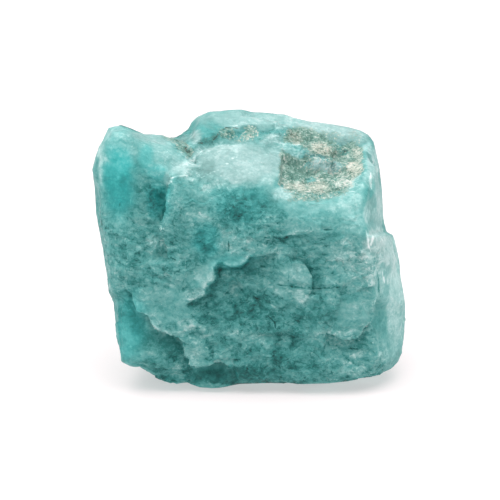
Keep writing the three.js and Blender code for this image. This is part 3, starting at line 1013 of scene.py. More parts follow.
@dataclass(frozen=True)
class Colouring:
    """Where the stone is pale, vivid, stained, veined or cracked, as seen on the front sheet, with painted
    shade under ledges and in pockets and painted highlights along edges in its tone.
    """

    tones: tuple[Patch, ...] = Patch.rows(
        # upper left: horn, wing and facet
        (-21.8, 37.6, 2.6, 1.6, 0.9), (-14.2, 33.9, 4.8, 2.6, 0.87, -38), (-16.7, 33.2, 1.3, 1.9, 0.66),
        (-16.1, 36.8, 3.8, 1.3, 0.78, -8), (-23.9, 32.5, 0.8, 3.5, 1.06), (-21, 33.9, 2.6, 3.2, 0.91),
        (-19.3, 28.4, 1.9, 3.5, 0.52), (-20.2, 29.6, 1, 1.3, 0.3), (-22.2, 26.1, 1.3, 2.6, 0.5),
        (-22.2, 18.9, 1.6, 4.8, 0.56), (-17.7, 24.9, 1.3, 2.2, 0.55), (-10.3, 32.1, 1.4, 1.3, 0.98),
        (-9.7, 30.9, 1.3, 0.6, 0.98), (-14.8, 31, 1.9, 1.1, 0.98, -38), (-7.1, 36.5, 1.1, 0.6, 0.5),
        # top: hump, terrace and their edges
        (-3.6, 40.1, 7, 1.4, 0.8), (-6.8, 38.4, 1.6, 1.6, 0.52), (-3, 38.9, 2.2, 0.6, 0.72),
        (4.7, 39.8, 3.8, 1.3, 0.92), (-4.2, 37.4, 1.4, 1, 0.32), (-1.7, 36.8, 1.9, 1, 0.6),
        (-6.5, 36.6, 1.1, 0.6, 0.2), (-8.7, 36.8, 0.8, 1, 0.9), (-1.7, 32.8, 8.3, 3, 0.82),
        # the thin bright oval at (-3.9, 35.2) is a painted highlight on the terrace's crest
        (-7.8, 33.6, 2.2, 1.4, 0.82), (-3.9, 35.2, 2.6, 0.6, 1.04, -4), (1.2, 32.3, 3.5, 2.2, 0.82),
        (-6.3, 32, 1.4, 1, 0.46), (12.7, 38.4, 6.1, 1.1, 0.95, -8), (17, 37.4, 1.9, 1.1, 0.86),
        (-3, 30.1, 1.9, 0.5, 0.95),
        # hollows of the stain: a bluish sheet, a recess and a smooth middle
        (6.6, 35, 2.2, 1, 0.95, -25), (11, 33.6, 2.1, 0.8, 0.25, -8), (14.6, 34.5, 1.4, 0.8, 0.5),
        (11.9, 32.1, 3.4, 1.1, 0.82, -5),
        # upper part of the broad face
        (-9.4, 28.4, 4.2, 1.4, 0.73), (-2.3, 28.8, 3.5, 0.6, 0.77), (-6, 29.1, 1.9, 0.8, 0.85),
        (-8.9, 24.6, 2.9, 1, 0.65), (-1.4, 25.9, 4.2, 3, 0.23), (2.5, 25.9, 2.2, 2.2, 0.35),
        (5.7, 28.1, 2.6, 1.1, 0.96), (11.1, 25.9, 5.8, 1.3, 0.8), (15.9, 27.5, 1.9, 2.2, 0.89),
        (15, 26.1, 1.4, 0.8, 0.95), (16.2, 23.3, 2.2, 2.9, 0.89), (11.1, 23, 5.8, 1.3, 0.67),
        # the dark oval at (-14.8, 26.9) is painted shade in the corner pocket beside the slab
        (-14.8, 26.9, 2.1, 2.6, 0.24), (-13.5, 30.1, 1, 1, 0.98), (-6.2, 25.9, 1.3, 1.3, 0.55),
        (1.8, 27.8, 1.3, 1, 0.65), (-0.7, 24.1, 1.4, 0.8, 0.35), (18.6, 35.3, 1, 1.1, 1.04),
        (-4.2, 22.9, 1.3, 1.1, 0.22), (-9, 30.7, 1.1, 0.8, 1), (-1.2, 27.8, 1.6, 0.8, 0.68),
        (7.3, 24.9, 1.6, 1, 0.6), (17, 29.7, 1.1, 1.3, 1.04),
        # middle of the broad face
        (-19.3, 18.9, 1.6, 3.2, 0.51), (-14.8, 18.9, 1.9, 2.2, 0.73), (-11.6, 22.9, 2.2, 2.2, 0.52),
        (-7.4, 20.5, 1.6, 2.2, 0.15), (-9.7, 18.9, 1.4, 1.6, 0.37), (-2.6, 19.2, 3.8, 1.9, 0.72),
        (15.9, 16.9, 4.2, 4.2, 0.81), (14, 13.1, 1.6, 4.2, 0.55), (16.1, 12.5, 1.9, 1, 0.72),
        (7, 14.9, 2.7, 1.3, 0.8, -12), (7.6, 16, 1.1, 0.8, 0.86, -50), (8.1, 11.3, 1.3, 1.6, 0.87),
        (-7.6, 14.7, 1.3, 2.2, 0.87), (-2, 13.4, 4.2, 2.6, 0.55), (7.9, 20.1, 2.9, 1.4, 0.47),
        (2.2, 16.6, 1.9, 1.4, 0.39), (6.3, 20.3, 1.6, 0.6, 0.44), (-4.9, 16, 1, 0.6, 0.23),
        (4.7, 12.8, 1.6, 1.3, 0.77), (3.8, 18.5, 1.6, 1, 0.75), (-13.5, 14, 1.6, 1.3, 0.77),
        (-21.2, 13.4, 1.3, 1.1, 0.8), (-6.2, 21.7, 1, 1.3, 0.47), (9.8, 16.5, 1.4, 0.8, 0.26, -55),
        # lower part of the broad face
        (-13.7, 10.2, 4.2, 2.6, 0.6), (-16.1, 7.3, 2.2, 1.3, 0.71, -35), (1.2, 7.3, 6.1, 2.9, 0.29),
        (0.9, 9.9, 1.9, 1, 0.19), (-2.6, 10.2, 1.9, 1, 0.35), (12.1, 6, 4.2, 3.2, 0.51),
        (16.9, 8.6, 3.2, 2.2, 0.69), (13.2, 8.9, 1.4, 1.9, 0.41), (7.8, 8, 1.3, 1.9, 0.26),
        (5.7, 5.7, 1.9, 1, 0.45), (3.4, 1.9, 3.2, 1.4, 0.25), (9.5, 2.9, 2.2, 1.4, 0.31),
        (10.6, 10.5, 1, 0.8, 0.35), (-0.7, 4.5, 4.2, 2.2, 0.61), (-10.3, 6, 1.9, 1.3, 0.8),
        (-19.3, 3.6, 1.4, 3.2, 0.66), (-15.1, 3.2, 3.5, 1.6, 0.5, -30), (-11.9, 1.9, 1.4, 1.4, 0.28),
        # the ovals along the bottom edge, below v = 0 with targets near 0, are painted shade where the
        # stone's lower edge meets the table
        (-8.6, 2.9, 1.4, 1.9, 0.69), (-14.5, 0.9, 2.2, 1.6, 0.4), (-4.9, -1.3, 4.5, 1.4, 0),
        (-2, -0.5, 1.6, 0.6, 0.06), (-9.7, -0.2, 1.4, 0.8, 0.2), (-14.5, -1.6, 3.2, 0.6, 0),
        (1.2, -1, 4.8, 1.3, 0.14), (1.2, -2.6, 8, 0.5, 0), (9.5, 0.3, 4.8, 1.3, 0.33),
        (13, 2.5, 1.3, 2.2, 0.65), (15.9, 5.4, 2.2, 0.8, 0.65), (16.2, 0, 2.2, 1.3, 0.77),
        (17.5, -2, 3.8, 0.6, 0), (21.4, 2.5, 2.2, 2.6, 0.69), (16.7, 2.5, 1.1, 0.8, 0.77),
        (18.8, 7.3, 1.3, 1.9, 0.75), (-3.1, 8.6, 1.4, 1.1, 0.1), (5.4, 2.9, 1.4, 1.3, 0.12),
        (1.5, 8.5, 1.9, 1, 0.08), (1.5, 2.9, 1.4, 1, 0.22), (10.2, 8.6, 1.4, 1.1, 0.2),
        (-6.2, 3.8, 1.4, 1.1, 0.56),
        # right-hand side
        (19.8, 32.9, 1.1, 2.6, 0.95), (20.1, 28.8, 1.1, 2.2, 0.74), (20.6, 24.9, 1.3, 2.2, 0.84),
        (20.1, 20.5, 1.6, 2.2, 1.04), (22.6, 18.9, 1.9, 2.6, 0.97), (20.1, 14.7, 1.4, 2.2, 0.95),
        (20.4, 12.1, 1.1, 1.9, 0.9), (23.1, 10.9, 1.6, 7.4, 1.03), (24.7, 7.6, 0.6, 6.4, 0.76),
        (18.5, 10.9, 1.3, 3.2, 0.78), (17.8, 17.6, 1.3, 1.3, 0.98), (18.6, 31.3, 0.6, 2.1, 0.93),
        (18.5, 24.6, 0.6, 1.9, 0.93), (19.8, 27.2, 0.6, 1, 0.84), (20.7, 17.4, 1.1, 1.1, 1.02),
        # lighter and darker clouds over what lies below them
        (-14.8, 29.7, 1.3, 1, 0.8), (0.1, 17.2, 1.6, 0.8, 0.72), (16.9, 4.8, 1.8, 1.1, 0.74),
        (-2.3, 13.4, 1.9, 1.3, 0.66), (3.4, 20.1, 1.6, 1, 0.68), (-10, -1, 1.6, 0.8, 0.46),
        (4.4, 0.9, 1.3, 1, 0.06), (-10.5, 27.2, 1.8, 1.3, 0.42), (2.5, 29.7, 1.3, 0.8, 0.92),
        (4.4, 24.9, 1.3, 1, 0.34), (10.2, 18.2, 1.3, 0.8, 0.64), (14, 14.4, 1.3, 1.1, 0.46),
        (-5, 9.6, 1.1, 1.1, 0.12), (-17.7, 24, 1.3, 1, 0.36), (1.5, 11.5, 1.4, 0.8, 0.42),
        (-13.8, 5.7, 1.3, 0.8, 0.72), (3.4, 36.5, 1.6, 0.8, 0.9), (16.9, 20.1, 1.3, 1.3, 0.88),
    )
    tongue_edge: ClassVar[Line] = (
        (-10.6, 11), (-8.9, 11.2), (-7.3, 11.6), (-7, 12.6), (-6.2, 13.9), (-5.8, 15.6), (-5.5, 16.4),
        (-3.9, 16.3), (-2, 16.3), (-1, 16.6), (-0.1, 17.7), (1.8, 18),
    )
    borders: tuple[Border, ...] = (
        # corner pocket left of the slab: painted shade, darker into the pocket
        Border(-0.2, 2, ((-16.4, 28.4), (-15.1, 28.8), (-14, 28.9), (-13, 29.4))),
        Border(-0.12, 2, ((-14.5, 23.3), (-15.8, 24.5), (-16.2, 26.5), (-16.4, 28.6))),
        # boundary between the wing and its mottled foot
        Border(0.2, 3, ((-22.8, 23), (-21.2, 23.5), (-19.8, 24.6))),
        # pale band above the slab
        Border(-0.22, 3, ((-12.9, 30.1), (-11.3, 30.7), (-9.8, 31.3), (-9.4, 32.9))),
        # recess under the hump: painted shade, darker down into it
        Border(-0.2, 2.4, ((-5.5, 36.3), (-5, 37.7), (-3.9, 38.4), (-1.7, 38.5))),
        Border(-0.2, 2, ((-8.1, 35.5), (-7, 36.1), (-5.8, 36.3))),
        # crest of the terrace: a painted highlight along it
        Border(0.05, 1.6, ((-5.8, 36), (-4.2, 35.8), (-2.3, 35.5), (-0.4, 36))),
        # middle of the broad face
        Border(-0.22, 3, ((-3.9, 28.4), (-1, 28.9), (1.8, 28.4), (4.1, 27.5))),
        Border(0.2, 3, ((-5.8, 21.1), (-5.4, 22.7), (-3.9, 24), (-1.7, 23.3))),
        Border(-0.2, 2.4, ((1.8, 20.8), (5.4, 20.9), (7.3, 21.6))),
        Border(-0.18, 2, ((10.8, 21.9), (13.4, 22.2), (15, 21.9))),
        Border(0.18, 2, ((12.7, 16.9), (14.6, 17.9), (16.9, 17.9))),
        Border(-0.2, 2.4, ((-16.1, 18.5), (-13.8, 19), (-11.3, 18))),
        Border(-0.16, 2, ((-10.6, 26.4), (-8.7, 26.1), (-6.5, 27))),
        Border(-0.2, 1.6, ((-6, 21.1), (-6.5, 19.2), (-7, 17.2))),
        # edge of the tongue: painted shadow below it, and a painted highlight along its top
        Border(-0.3, 3.5, tongue_edge),
        Border(0.2, 1.6, tongue_edge[::-1]),
        # lower part of the broad face
        Border(-0.2, 3, ((-3, 12.5), (-0.7, 13.1), (1.8, 11.8), (3.8, 10.5))),
        Border(-0.18, 2.6, ((13.7, 11.5), (13.4, 9.2), (14, 7.3))),
        Border(0.2, 2.4, ((9.5, 4.5), (11.1, 6), (13.4, 6.4))),
        Border(-0.22, 2, ((5.4, 2.5), (6.3, 5.1), (7.9, 6))),
        Border(0.2, 2.4, ((-0.4, 2.5), (1.8, 3.2), (4.1, 2.9))),
        Border(0.1, 2, ((-18.3, 10.9), (-16.1, 12.1), (-13.8, 11.5))),
        Border(-0.2, 2, ((-9.7, 8), (-7.4, 8.6), (-4.9, 8))),
        Border(-0.2, 2.2, ((14, 5.4), (15.9, 4.9), (17.8, 5.6), (19.1, 7.3), (20.2, 9.7))),
        Border(0.18, 2, ((-13.5, 0.5), (-11.6, 1.2), (-10.3, 0.3))),
        # painted shadow under the lower left-hand edge
        Border(-0.3, 3.5, ((-19.3, 11.5), (-18.6, 8.9), (-17.7, 8.5), (-16.6, 7), (-15.6, 6.1),
               (-14.5, 5.5), (-11.8, 4.6), (-11, 4), (-10.6, 2.7), (-10.5, 1.6))),
        Border(0.2, 1.4, ((-10.3, 3.6), (-9.5, 4.5), (-8.2, 4))),
    )
    vivid: tuple[Patch, ...] = Patch.rows(  # clean turquoise
        (-20.9, 30.1, 2.7, 6.1, 1), (-19.3, 6.7, 2.9, 6.1, 0.6), (-6.8, 38.5, 2.1, 1.4, 0.2),
        (-7.1, 20.1, 2.2, 2.6, 0.7), (-1.7, 25.9, 4.5, 3.2, 0.4), (-14.6, 26.9, 2.1, 2.9, 0.7),
        (-14.5, 33.2, 5.4, 2.6, 0.05, -38), (-3.3, 16.9, 4.2, 1.6, 0.35),
        (-14.8, 31, 1.9, 1.3, 0.75, -38), (-16.7, 33.2, 1.3, 2.2, 0.6), (-21.8, 37.4, 1.9, 1.4, 0.35),
    )
    chalky: tuple[Patch, ...] = Patch.rows(  # pale and chalky
        (-1.7, 32.8, 9, 3.5, 1), (-0.1, 39.8, 9.6, 1.6, 0.7), (12.7, 37.9, 7, 1.9, 1, -8),
        (6.3, 27.8, 3.5, 1.6, 0.4), (20.1, 20, 1.9, 2.2, 0.8), (20.4, 25.2, 1.9, 2.9, 0.25),
        (19.8, 31.7, 1.6, 3.5, 0.4), (22.6, 18.9, 1.9, 3.2, 0.6), (-13.8, 34.9, 2.9, 1.3, 0.35, -38),
        (-10.6, 31.8, 2.2, 1.6, 0.8), (-22.2, 37.7, 1.9, 1, 0.35), (-16.1, 36.8, 3.5, 1.1, 0.7, -8),
        (10.5, 33.6, 2.6, 0.6, 0.6), (11.9, 32.1, 3.2, 1.1, 1, -5), (-8.7, 36.8, 1, 1, 1),
        (3.4, 36.5, 1.9, 1, 0.8), (-10.8, 36.5, 1.3, 0.6, 0.7), (2.5, 29.7, 1.4, 1, 0.4),
    )
    upright: tuple[Patch, ...] = Patch.rows(  # where the mottling stands upright
        (-21.5, 23.6, 3.8, 14.4, 0.7), (21.5, 20.5, 2.6, 22.4, 1), (-7.3, 28.8, 5.4, 2.2, 0.6),
    )
    stain_ring: Line = (
        (4.7, 34.2), (4.6, 29.4), (5.8, 28.2), (7.4, 27.7), (9, 27.6), (12.2, 27.8), (14, 28.2), (16.2, 29.2),
        (16.9, 30.6), (17.9, 31.4), (18.2, 35.4), (16.4, 36.4), (14, 35.6), (12.4, 36.8), (10.6, 38.1),
        (8.2, 38.7), (5.6, 38.2), (5.2, 36.4),
    )
    stain_middle: Point = (11.0, 32.0)
    stain_edge: Span = (-0.5, 0.5)
    stains: tuple[Patch, ...] = Patch.rows(  # spots of the stain outside its ring
        (0.1, 37.7, 1.4, 1.4, 0.8), (-3.9, 37.4, 1.8, 1.1, 0.62), (-1.7, 36.6, 1.6, 0.8, 0.5),
        (-6.5, 36.6, 1, 0.5, 0.4), (12.7, 37.2, 2.2, 1.1, 0.5, -10), (-12.6, 36.6, 1.9, 0.6, 0.6, -25),
        (-10.8, 35.3, 1.3, 1, 0.7, -45), (-9.8, 34.4, 0.6, 1.1, 0.7), (16.7, 36.9, 1.6, 1.1, 0.4),
        (9.7, 27.5, 3.8, 1.4, 0.75), (13.7, 28.4, 2.2, 1.4, 0.7),
    )
    clean: tuple[Patch, ...] = Patch.rows(  # sheets that stand clean out of the stain
        (6.8, 34.9, 2.9, 1, 1, -22), (10.8, 33.6, 2.1, 0.4, 0.8, -6), (14.6, 34.7, 1.6, 0.6, 0.35),
        (11.9, 32.3, 3.2, 1, 0.75, -5), (2.8, 35.5, 2.6, 1, 1, -10), (11.1, 26.2, 3.8, 0.6, 0.7),
        (9.8, 30.1, 1, 0.5, 0.5),
    )
    cream: tuple[Patch, ...] = Patch.rows(  # how creamy the grains of the stain are, from brown to cream
        (6.3, 32, 1.9, 2.6, 0.36), (5.2, 32.3, 0.5, 2.9, 0.58), (7.4, 36.9, 1.6, 1.1, 0.48),
        (9.8, 37.4, 1.6, 1, 0.5), (11.4, 35, 1.9, 1, 0.82, -20), (14.5, 34.9, 1.4, 0.6, 0.4),
        (14.6, 33.7, 1.4, 0.5, 0.72), (17, 34.5, 1, 1.4, 0.64), (16.6, 32, 1.4, 1.1, 0.92),
        (11.9, 32.3, 3, 1, 0.86, -5), (10.5, 28.8, 2.2, 1.3, 0.86), (6.8, 28.9, 1.9, 1, 0.76),
        (15, 29.9, 1.9, 1.1, 0.96), (12.1, 30.4, 0.8, 1.1, 0.42), (9.2, 27.3, 1.9, 0.8, 0.56),
        (12.7, 27.5, 1.6, 0.6, 0.7), (0.1, 37.6, 1.4, 1.4, 0.66), (-3.9, 37.4, 1.6, 1.1, 0.3),
        (-1.7, 36.6, 1.6, 0.8, 0.7), (-6.5, 36.6, 1, 0.5, 0.1), (-12.6, 36.6, 1.9, 0.6, 0.6, -25),
        (-10.6, 35.2, 1.4, 1.3, 0.5),
    )
    blush: tuple[Patch, ...] = Patch.rows(  # a warmer tinge in the stain
        (11.6, 34.9, 2.1, 1, 1, -15), (16.6, 32, 1.4, 1.3, 0.9), (7.1, 36.8, 1.3, 1, 0.8),
        (7.3, 28.8, 1.9, 0.8, 0.6), (10.8, 28.8, 1.9, 1.1, 0.6), (17, 34.5, 1, 1.3, 0.5),
    )
    veins: tuple[Thread, ...] = Thread.rows(
        (0.3, (5.8, 35.8), (7, 35.7), (8.1, 35.7)), (0.25, (9.2, 33.7), (11, 33.4), (12.7, 33.2)),
        (0.3, (13.5, 33.6), (15.1, 33.1)), (0.3, (16.4, 33.2), (17.8, 33.1)),
        (0.3, (9, 30.7), (9.4, 28.4)), (0.3, (10.8, 28.1), (12.7, 27.8)),
        (0.35, (-8.4, 34.2), (-7.4, 34.7)), (0.35, (-3.4, 33.4), (-2, 33.7)),
        (0.4, (-4.4, 32.9), (-3.1, 32.3)), (0.35, (-13.2, 30.2), (-12.1, 30.5), (-9.7, 30.7)),
        (0.4, (19.3, 28.4), (19.1, 30.1), (19, 31.3)), (0.4, (19.4, 23.3), (19.8, 22), (19.3, 19.6)),
        (0.4, (20.1, 24.9), (20.7, 23.3), (21.2, 21.2)), (0.35, (18.3, 22), (18.8, 20.5), (19.1, 18.5)),
        (0.3, (21, 15.3), (21.4, 13.1)), (0.25, (-19.1, 27.2), (-19.1, 25.7)),
        (0.15, (-10.3, 17.7), (-10.3, 15.6)), (0.2, (-19.1, 36.6), (-17.7, 36.6)),
        (0.2, (-8.6, 29.9), (-6.5, 31), (-4.4, 31.8)), (0.3, (-12.6, 29.7), (-12.4, 29.1)),
        (0.3, (-14.3, 23), (-14.2, 22)), (0.3, (-8.7, 5.1), (-7.6, 4.1), (-6.6, 2.9)),
        (0.2, (-2.3, 20.6), (-0.1, 20.8)), (0.15, (5.2, 7.3), (6.6, 7.6)),
        (0.2, (-21.2, 15.6), (-20.9, 13.7)), (0.15, (11.3, 10.9), (13.7, 11.3)),
        (0.15, (0.9, 6), (3.1, 6.4)), (0.2, (15.3, 1.9), (17.5, 2.4)),
        (0.12, (-16.1, 22.2), (-16.2, 19.8)), (0.15, (-10.3, 15.6), (-10.2, 14)),
        (0.2, (-21.2, 18.5), (-20.7, 16.3)),
    )
    cracks: tuple[Thread, ...] = Thread.rows(
        (0.22, (-13.4, 37.2), (-11.9, 36.8), (-11, 35.7), (-10.3, 34.9), (-9.7, 33.7)),
        (0.25, (-10.8, 35.5), (-10, 35), (-9.5, 33.9)),
        (0.32, (-9.2, 35.6), (-8.4, 35.7), (-7.4, 36.1), (-6.6, 36.2), (-5.8, 36.5)),
        (0.6, (-5.8, 36.5), (-5.5, 36.9)), (0.3, (-5.5, 36.9), (-5, 37.6)),
        (0.2, (-5.4, 37.2), (-4.9, 37.9), (-3.9, 38.4), (-1.7, 38.5), (-0.4, 38.4)),
        (0.3, (0.5, 38.5), (0.8, 38.9)), (0.25, (-0.2, 37.6), (0, 38)), (0.2, (-0.6, 37.1), (0.9, 36.9)),
        (0.2, (5, 35), (5.4, 34.4)), (0.3, (5.8, 34), (6.5, 33.9)), (0.35, (8.6, 33.2), (8.9, 32.9)),
        (0.3, (10.6, 36.5), (11, 36.1)), (0.2, (6.2, 37.9), (7.6, 38.5)),
        (0.35, (13.7, 35.3), (14.6, 34.8), (15.8, 34.9)), (0.3, (12.9, 35.5), (13.2, 35)),
        (0.35, (9.6, 12.8), (10.3, 12.7)), (0.3, (-3.4, 20), (-3.4, 19)),
        (0.25, (-12.6, 17.6), (-12.1, 17.2)), (0.12, (10, 30.1), (11.1, 30.4)),
    )
    seams: tuple[Thread, ...] = Thread.rows(
        (0.2, (4.1, 13.4), (5.5, 13.1), (7.1, 13), (9.4, 12.7)), (0.6, (9.2, 12.9), (10.5, 12.7)),
        (0.2, (10.3, 12.7), (12.7, 12.8), (15.3, 12.9)), (0.2, (6, 16), (6.1, 13.4)),
        (0.25, (9.2, 13.2), (9.8, 13.1)), (0.25, (11.4, 22), (13.2, 22.2)),
        (0.3, (1.8, 20.9), (5.4, 20.9), (6.8, 21.4)), (0.25, (19.9, 24), (20.2, 23), (19.8, 22)),
        (0.25, (14.3, 5.2), (15.6, 5.1), (16.6, 5.4)), (0.3, (-3.5, 20.5), (-3.4, 18.5)),
        (0.3, (-12.9, 17.7), (-11.9, 17.2)), (0.2, (20.2, 15.3), (20.4, 12.8), (20.9, 10.4)),
        (0.2, (-14.2, 14.5), (-13.2, 14.7)), (0.25, (15.1, 2.9), (16.2, 3.3), (17.5, 2.9)),
        (0.2, (-20.9, 27.5), (-20.7, 24.6)), (0.2, (-23, 26.4), (-23, 25.1)),
        (0.2, (2.8, 8.5), (3.8, 7.3), (4.1, 6)), (0.2, (13.4, 10.9), (13.7, 8.9)),
        (0.2, (0.2, 11.5), (1.8, 10.9)), (0.2, (-8.4, 12.1), (-7.1, 12.5)),
    )
    # How far each kind of line wanders with the raggedness.
    tone_wander: float = 0.7
    zone_wander: float = 0.5
    stain_wander: float = 0.35
    thread_wander: float = 0.15
    # Tone away from the broad face, and where nothing pulls it.
    middle_tone: float = 0.5
    drift: float = 0.3
    drift_size: float = 14.0
    # How much each chip differs in tone, and how much less so on smooth zones.
    chip_tone: float = 0.05
    smoothing: float = 0.6

    def tone(self, points: Array, places: Array, seen: Array, noise: GrainNoise) -> Array:
        """How pale the stone is, from 0, deep teal, to 1, near white.

        Away from the broad face it wanders with broad noise. On it, the patches pull it up or down.

        Args:
            points: Places in the block.
            places: The same places on the front sheet.
            seen: Share of the front sheet at each place.
            noise: Noise to draw on.

        Returns:
            Tones, mostly between 0 and 1.
        """
        drift = self.middle_tone + self.drift * noise.layered(points, self.drift_size, 3)
        tone = np.full(len(points), self.middle_tone)
        for patch in self.tones:
            tone = patch.pull(tone, places)
        for border in self.borders:
            tone += border.shade(places)
        return drift + (tone - drift) * seen

    @staticmethod
    def strongest(patches: tuple[Patch, ...], places: Array) -> Array:
        """Return the strongest of some patches at each place, each times its own target."""
        return np.max([patch.target * patch.cover(places) for patch in patches], axis=0)

    def stain(self, places: Array) -> tuple[Array, Array]:
        """How thick the brown stain lies, and how creamy it is.

        It fills its ring and a few patches outside it, less the clean sheets that stand out of it.

        Args:
            places: (u, v) places on the front sheet.

        Returns:
            Stain and cream, each between 0 and 1.
        """
        local = places - self.stain_middle
        inwards = ring_radius(self.stain_ring, self.stain_middle, local) - np.hypot(local[:, 0], local[:, 1])
        stain = np.maximum(smoothstep(inwards, *self.stain_edge), self.strongest(self.stains, places))
        cream = np.full(len(places), 0.5)
        for patch in self.cream:
            cream = patch.pull(cream, places)
        return stain * (1.0 - self.strongest(self.clean, places)), cream

    @staticmethod
    def nearest(threads: tuple[Thread, ...], places: Array, seen: Array) -> Array:
        """Return the distance in half widths to the nearest thread, set far where the sheet isn't seen."""
        reach = np.min([thread.reach(places) for thread in threads], axis=0)
        return np.where(seen > 0.5, np.minimum(reach, FAR), FAR)

    def crusted(self, skin: Skin) -> Array:
        """Return how thick the stain lies on the bare block, for its own grain."""
        return skin.coloured() * self.stain(skin.front + skin.ragged * self.stain_wander)[0]

    def attributes(self, skin: Skin, points: Array, smooth: Array, levels: list[Array],
                   noise: GrainNoise) -> dict[str, Array]:
        """Work out the colour attributes, which are drawn where the finished surface shows.

        Args:
            skin: The bare block's surface.
            points: The finished surface.
            smooth: How smooth the stone is at each place.
            levels: Levels of the wide and the small chips.
            noise: Noise to draw on.

        Returns:
            Named arrays of n values.
        """
        coloured = skin.coloured()
        shown = Sheet.FRONT.flatten(points)
        in_zone = shown + skin.ragged * self.zone_wander
        in_stain = shown + skin.ragged * self.stain_wander
        by_thread = shown + skin.ragged * self.thread_wander
        stain, cream = self.stain(in_stain)
        wide, small = levels
        chips = (1.0 - self.smoothing * smooth) * (self.chip_tone * wide + self.chip_tone * small)
        return {
            "tone": self.tone(skin.points, shown + skin.ragged * self.tone_wander, coloured, noise) + chips,
            "vivid": coloured * self.strongest(self.vivid, in_zone),
            "chalky": coloured * self.strongest(self.chalky, in_zone),
            "upright": coloured * self.strongest(self.upright, shown),
            "stain": stain * coloured,
            "cream": cream,
            "blush": self.strongest(self.blush, in_stain),
            "vein": self.nearest(self.veins, by_thread, skin.seen()),
            "crack": self.nearest(self.cracks, by_thread, skin.seen()),
            "seam": self.nearest(self.seams, by_thread, skin.seen()),
            "smooth": smooth,
        }


# ---- The stone ----


@dataclass
class Stone:
    """The whole stone: a fine box grid of rays, its relief, its colour attributes and its finish."""

    grid: tuple[int, int, int] = (190, 58, 156)
    seed: int = 11
    block: BareBlock = field(default_factory=BareBlock)
    relief: Relief = field(default_factory=Relief)
    colouring: Colouring = field(default_factory=Colouring)
    least_cosine: float = 0.5

    def rays(self) -> tuple[Array, Array]:
        """Directions to the points of a box grid, and the quads between them.

        Each side of the box is a grid of two parameters, each from -1 to 1. Points on shared edges are
        merged by their lattice index, so the surface is closed.

        Returns:
            Unit directions as an n by 3 array, and quads as an m by 4 array of indices.
        """
        cells = np.array(self.grid)
        lattice, quads, count = [], [], 0
        for axis in range(3):
            one, two = (axis + 1) % 3, (axis + 2) % 3
            for far in (False, True):
                i, j = np.meshgrid(np.arange(cells[one] + 1), np.arange(cells[two] + 1), indexing="ij")
                place = np.zeros((i.size, 3), dtype=np.int64)
                place[:, one], place[:, two] = i.ravel(), j.ravel()
                place[:, axis] = cells[axis] if far else 0
                index = count + np.arange(i.size).reshape(i.shape)
                ring = [index[:-1, :-1], index[1:, :-1], index[1:, 1:], index[:-1, 1:]]
                quads.append(np.stack(ring if far else ring[::-1], axis=-1).reshape(-1, 4))
                lattice.append(place)
                count += i.size
        keys, merged = np.unique(np.concatenate(lattice), axis=0, return_inverse=True)
        corners = (2.0 * keys / cells - 1.0) * np.array(self.block.size)
        directions = corners / np.linalg.norm(corners, axis=1, keepdims=True)
        return directions, merged.reshape(-1)[np.concatenate(quads)]

    def carve(self, directions: Array) -> tuple[Array, dict[str, Array]]:
        """Work out the finished surface along each ray, and the attributes that colour it.

        The depth is the sum of the marks, the swells, the terraces and the broken skin. Each point moves
        in along its ray by the depth over the cosine between ray and normal.

        Args:
            directions: Unit directions of the rays.

        Returns:
            Points as an n by 3 array in millimetres, and named arrays of n values.
        """
        relief, colouring = self.relief, self.colouring
        noise = GrainNoise(self.seed)
        chips = ChipNoise(self.seed)
        skin = Skin.along(self.block, directions, noise)
        bare = skin.points
        smooth = skin.coloured() * colouring.strongest(relief.smooth, skin.front)

        depth, crest = relief.marks(skin)
        depth += relief.swells(skin)
        depth += relief.terraces(skin)

        # Thin cleavage sheets, chips and broken grain, finer than the solid shows.
        broken = relief.broken(skin, smooth)
        depth += broken * relief.thin_sheets(skin, noise)
        chipped, levels = relief.chipped(skin, chips)
        depth += broken * chipped
        depth += broken * relief.grain_height * noise.layered(bare, relief.grain_size, 2, 0.7)
        crust = noise.layered(bare + relief.crust_shift, relief.crust_size, 2, 0.8)
        depth += colouring.crusted(skin) * relief.crust_height * crust

        cosine = np.maximum((skin.normal * directions).sum(axis=1), self.least_cosine)
        points = bare - directions * (relief.held_in(depth, skin) / cosine)[:, None]
        attributes = colouring.attributes(skin, points, smooth, levels, noise)
        # crest: distance to a sharp ledge's edge, which the finish uses for a painted highlight and painted
        # shade
        return points, {**attributes, "crest": crest}

    def build(self, name: str) -> bpy.types.Object:
        """Make the mesh in metres, with smooth faces and its attributes.

        Args:
            name: Name of the object.

        Returns:
            The stone's object, at the origin.
        """
        directions, quads = self.rays()
        points, attributes = self.carve(directions)
        mesh = bpy.data.meshes.new(name)
        mesh.from_pydata(((points - (0.0, 0.0, FOOT_LEVEL)) * MM).tolist(), [], quads.tolist())
        for key, values in attributes.items():
            layer = mesh.attributes.new(key, "FLOAT", "POINT")
            layer.data.foreach_set("value", values.astype(np.float32))
        mesh.polygons.foreach_set("use_smooth", np.ones(len(quads), dtype=bool))
        mesh.update()
        piece = bpy.data.objects.new(name, mesh)
        bpy.context.collection.objects.link(piece)
        return piece

    @staticmethod
    def dress(piece: bpy.types.Object) -> None:
        """Give the stone its finish.

        Args:
            piece: The stone's object.
        """
        piece.data.materials.append(AmazoniteFinish().material())


# ---- Finishes ----


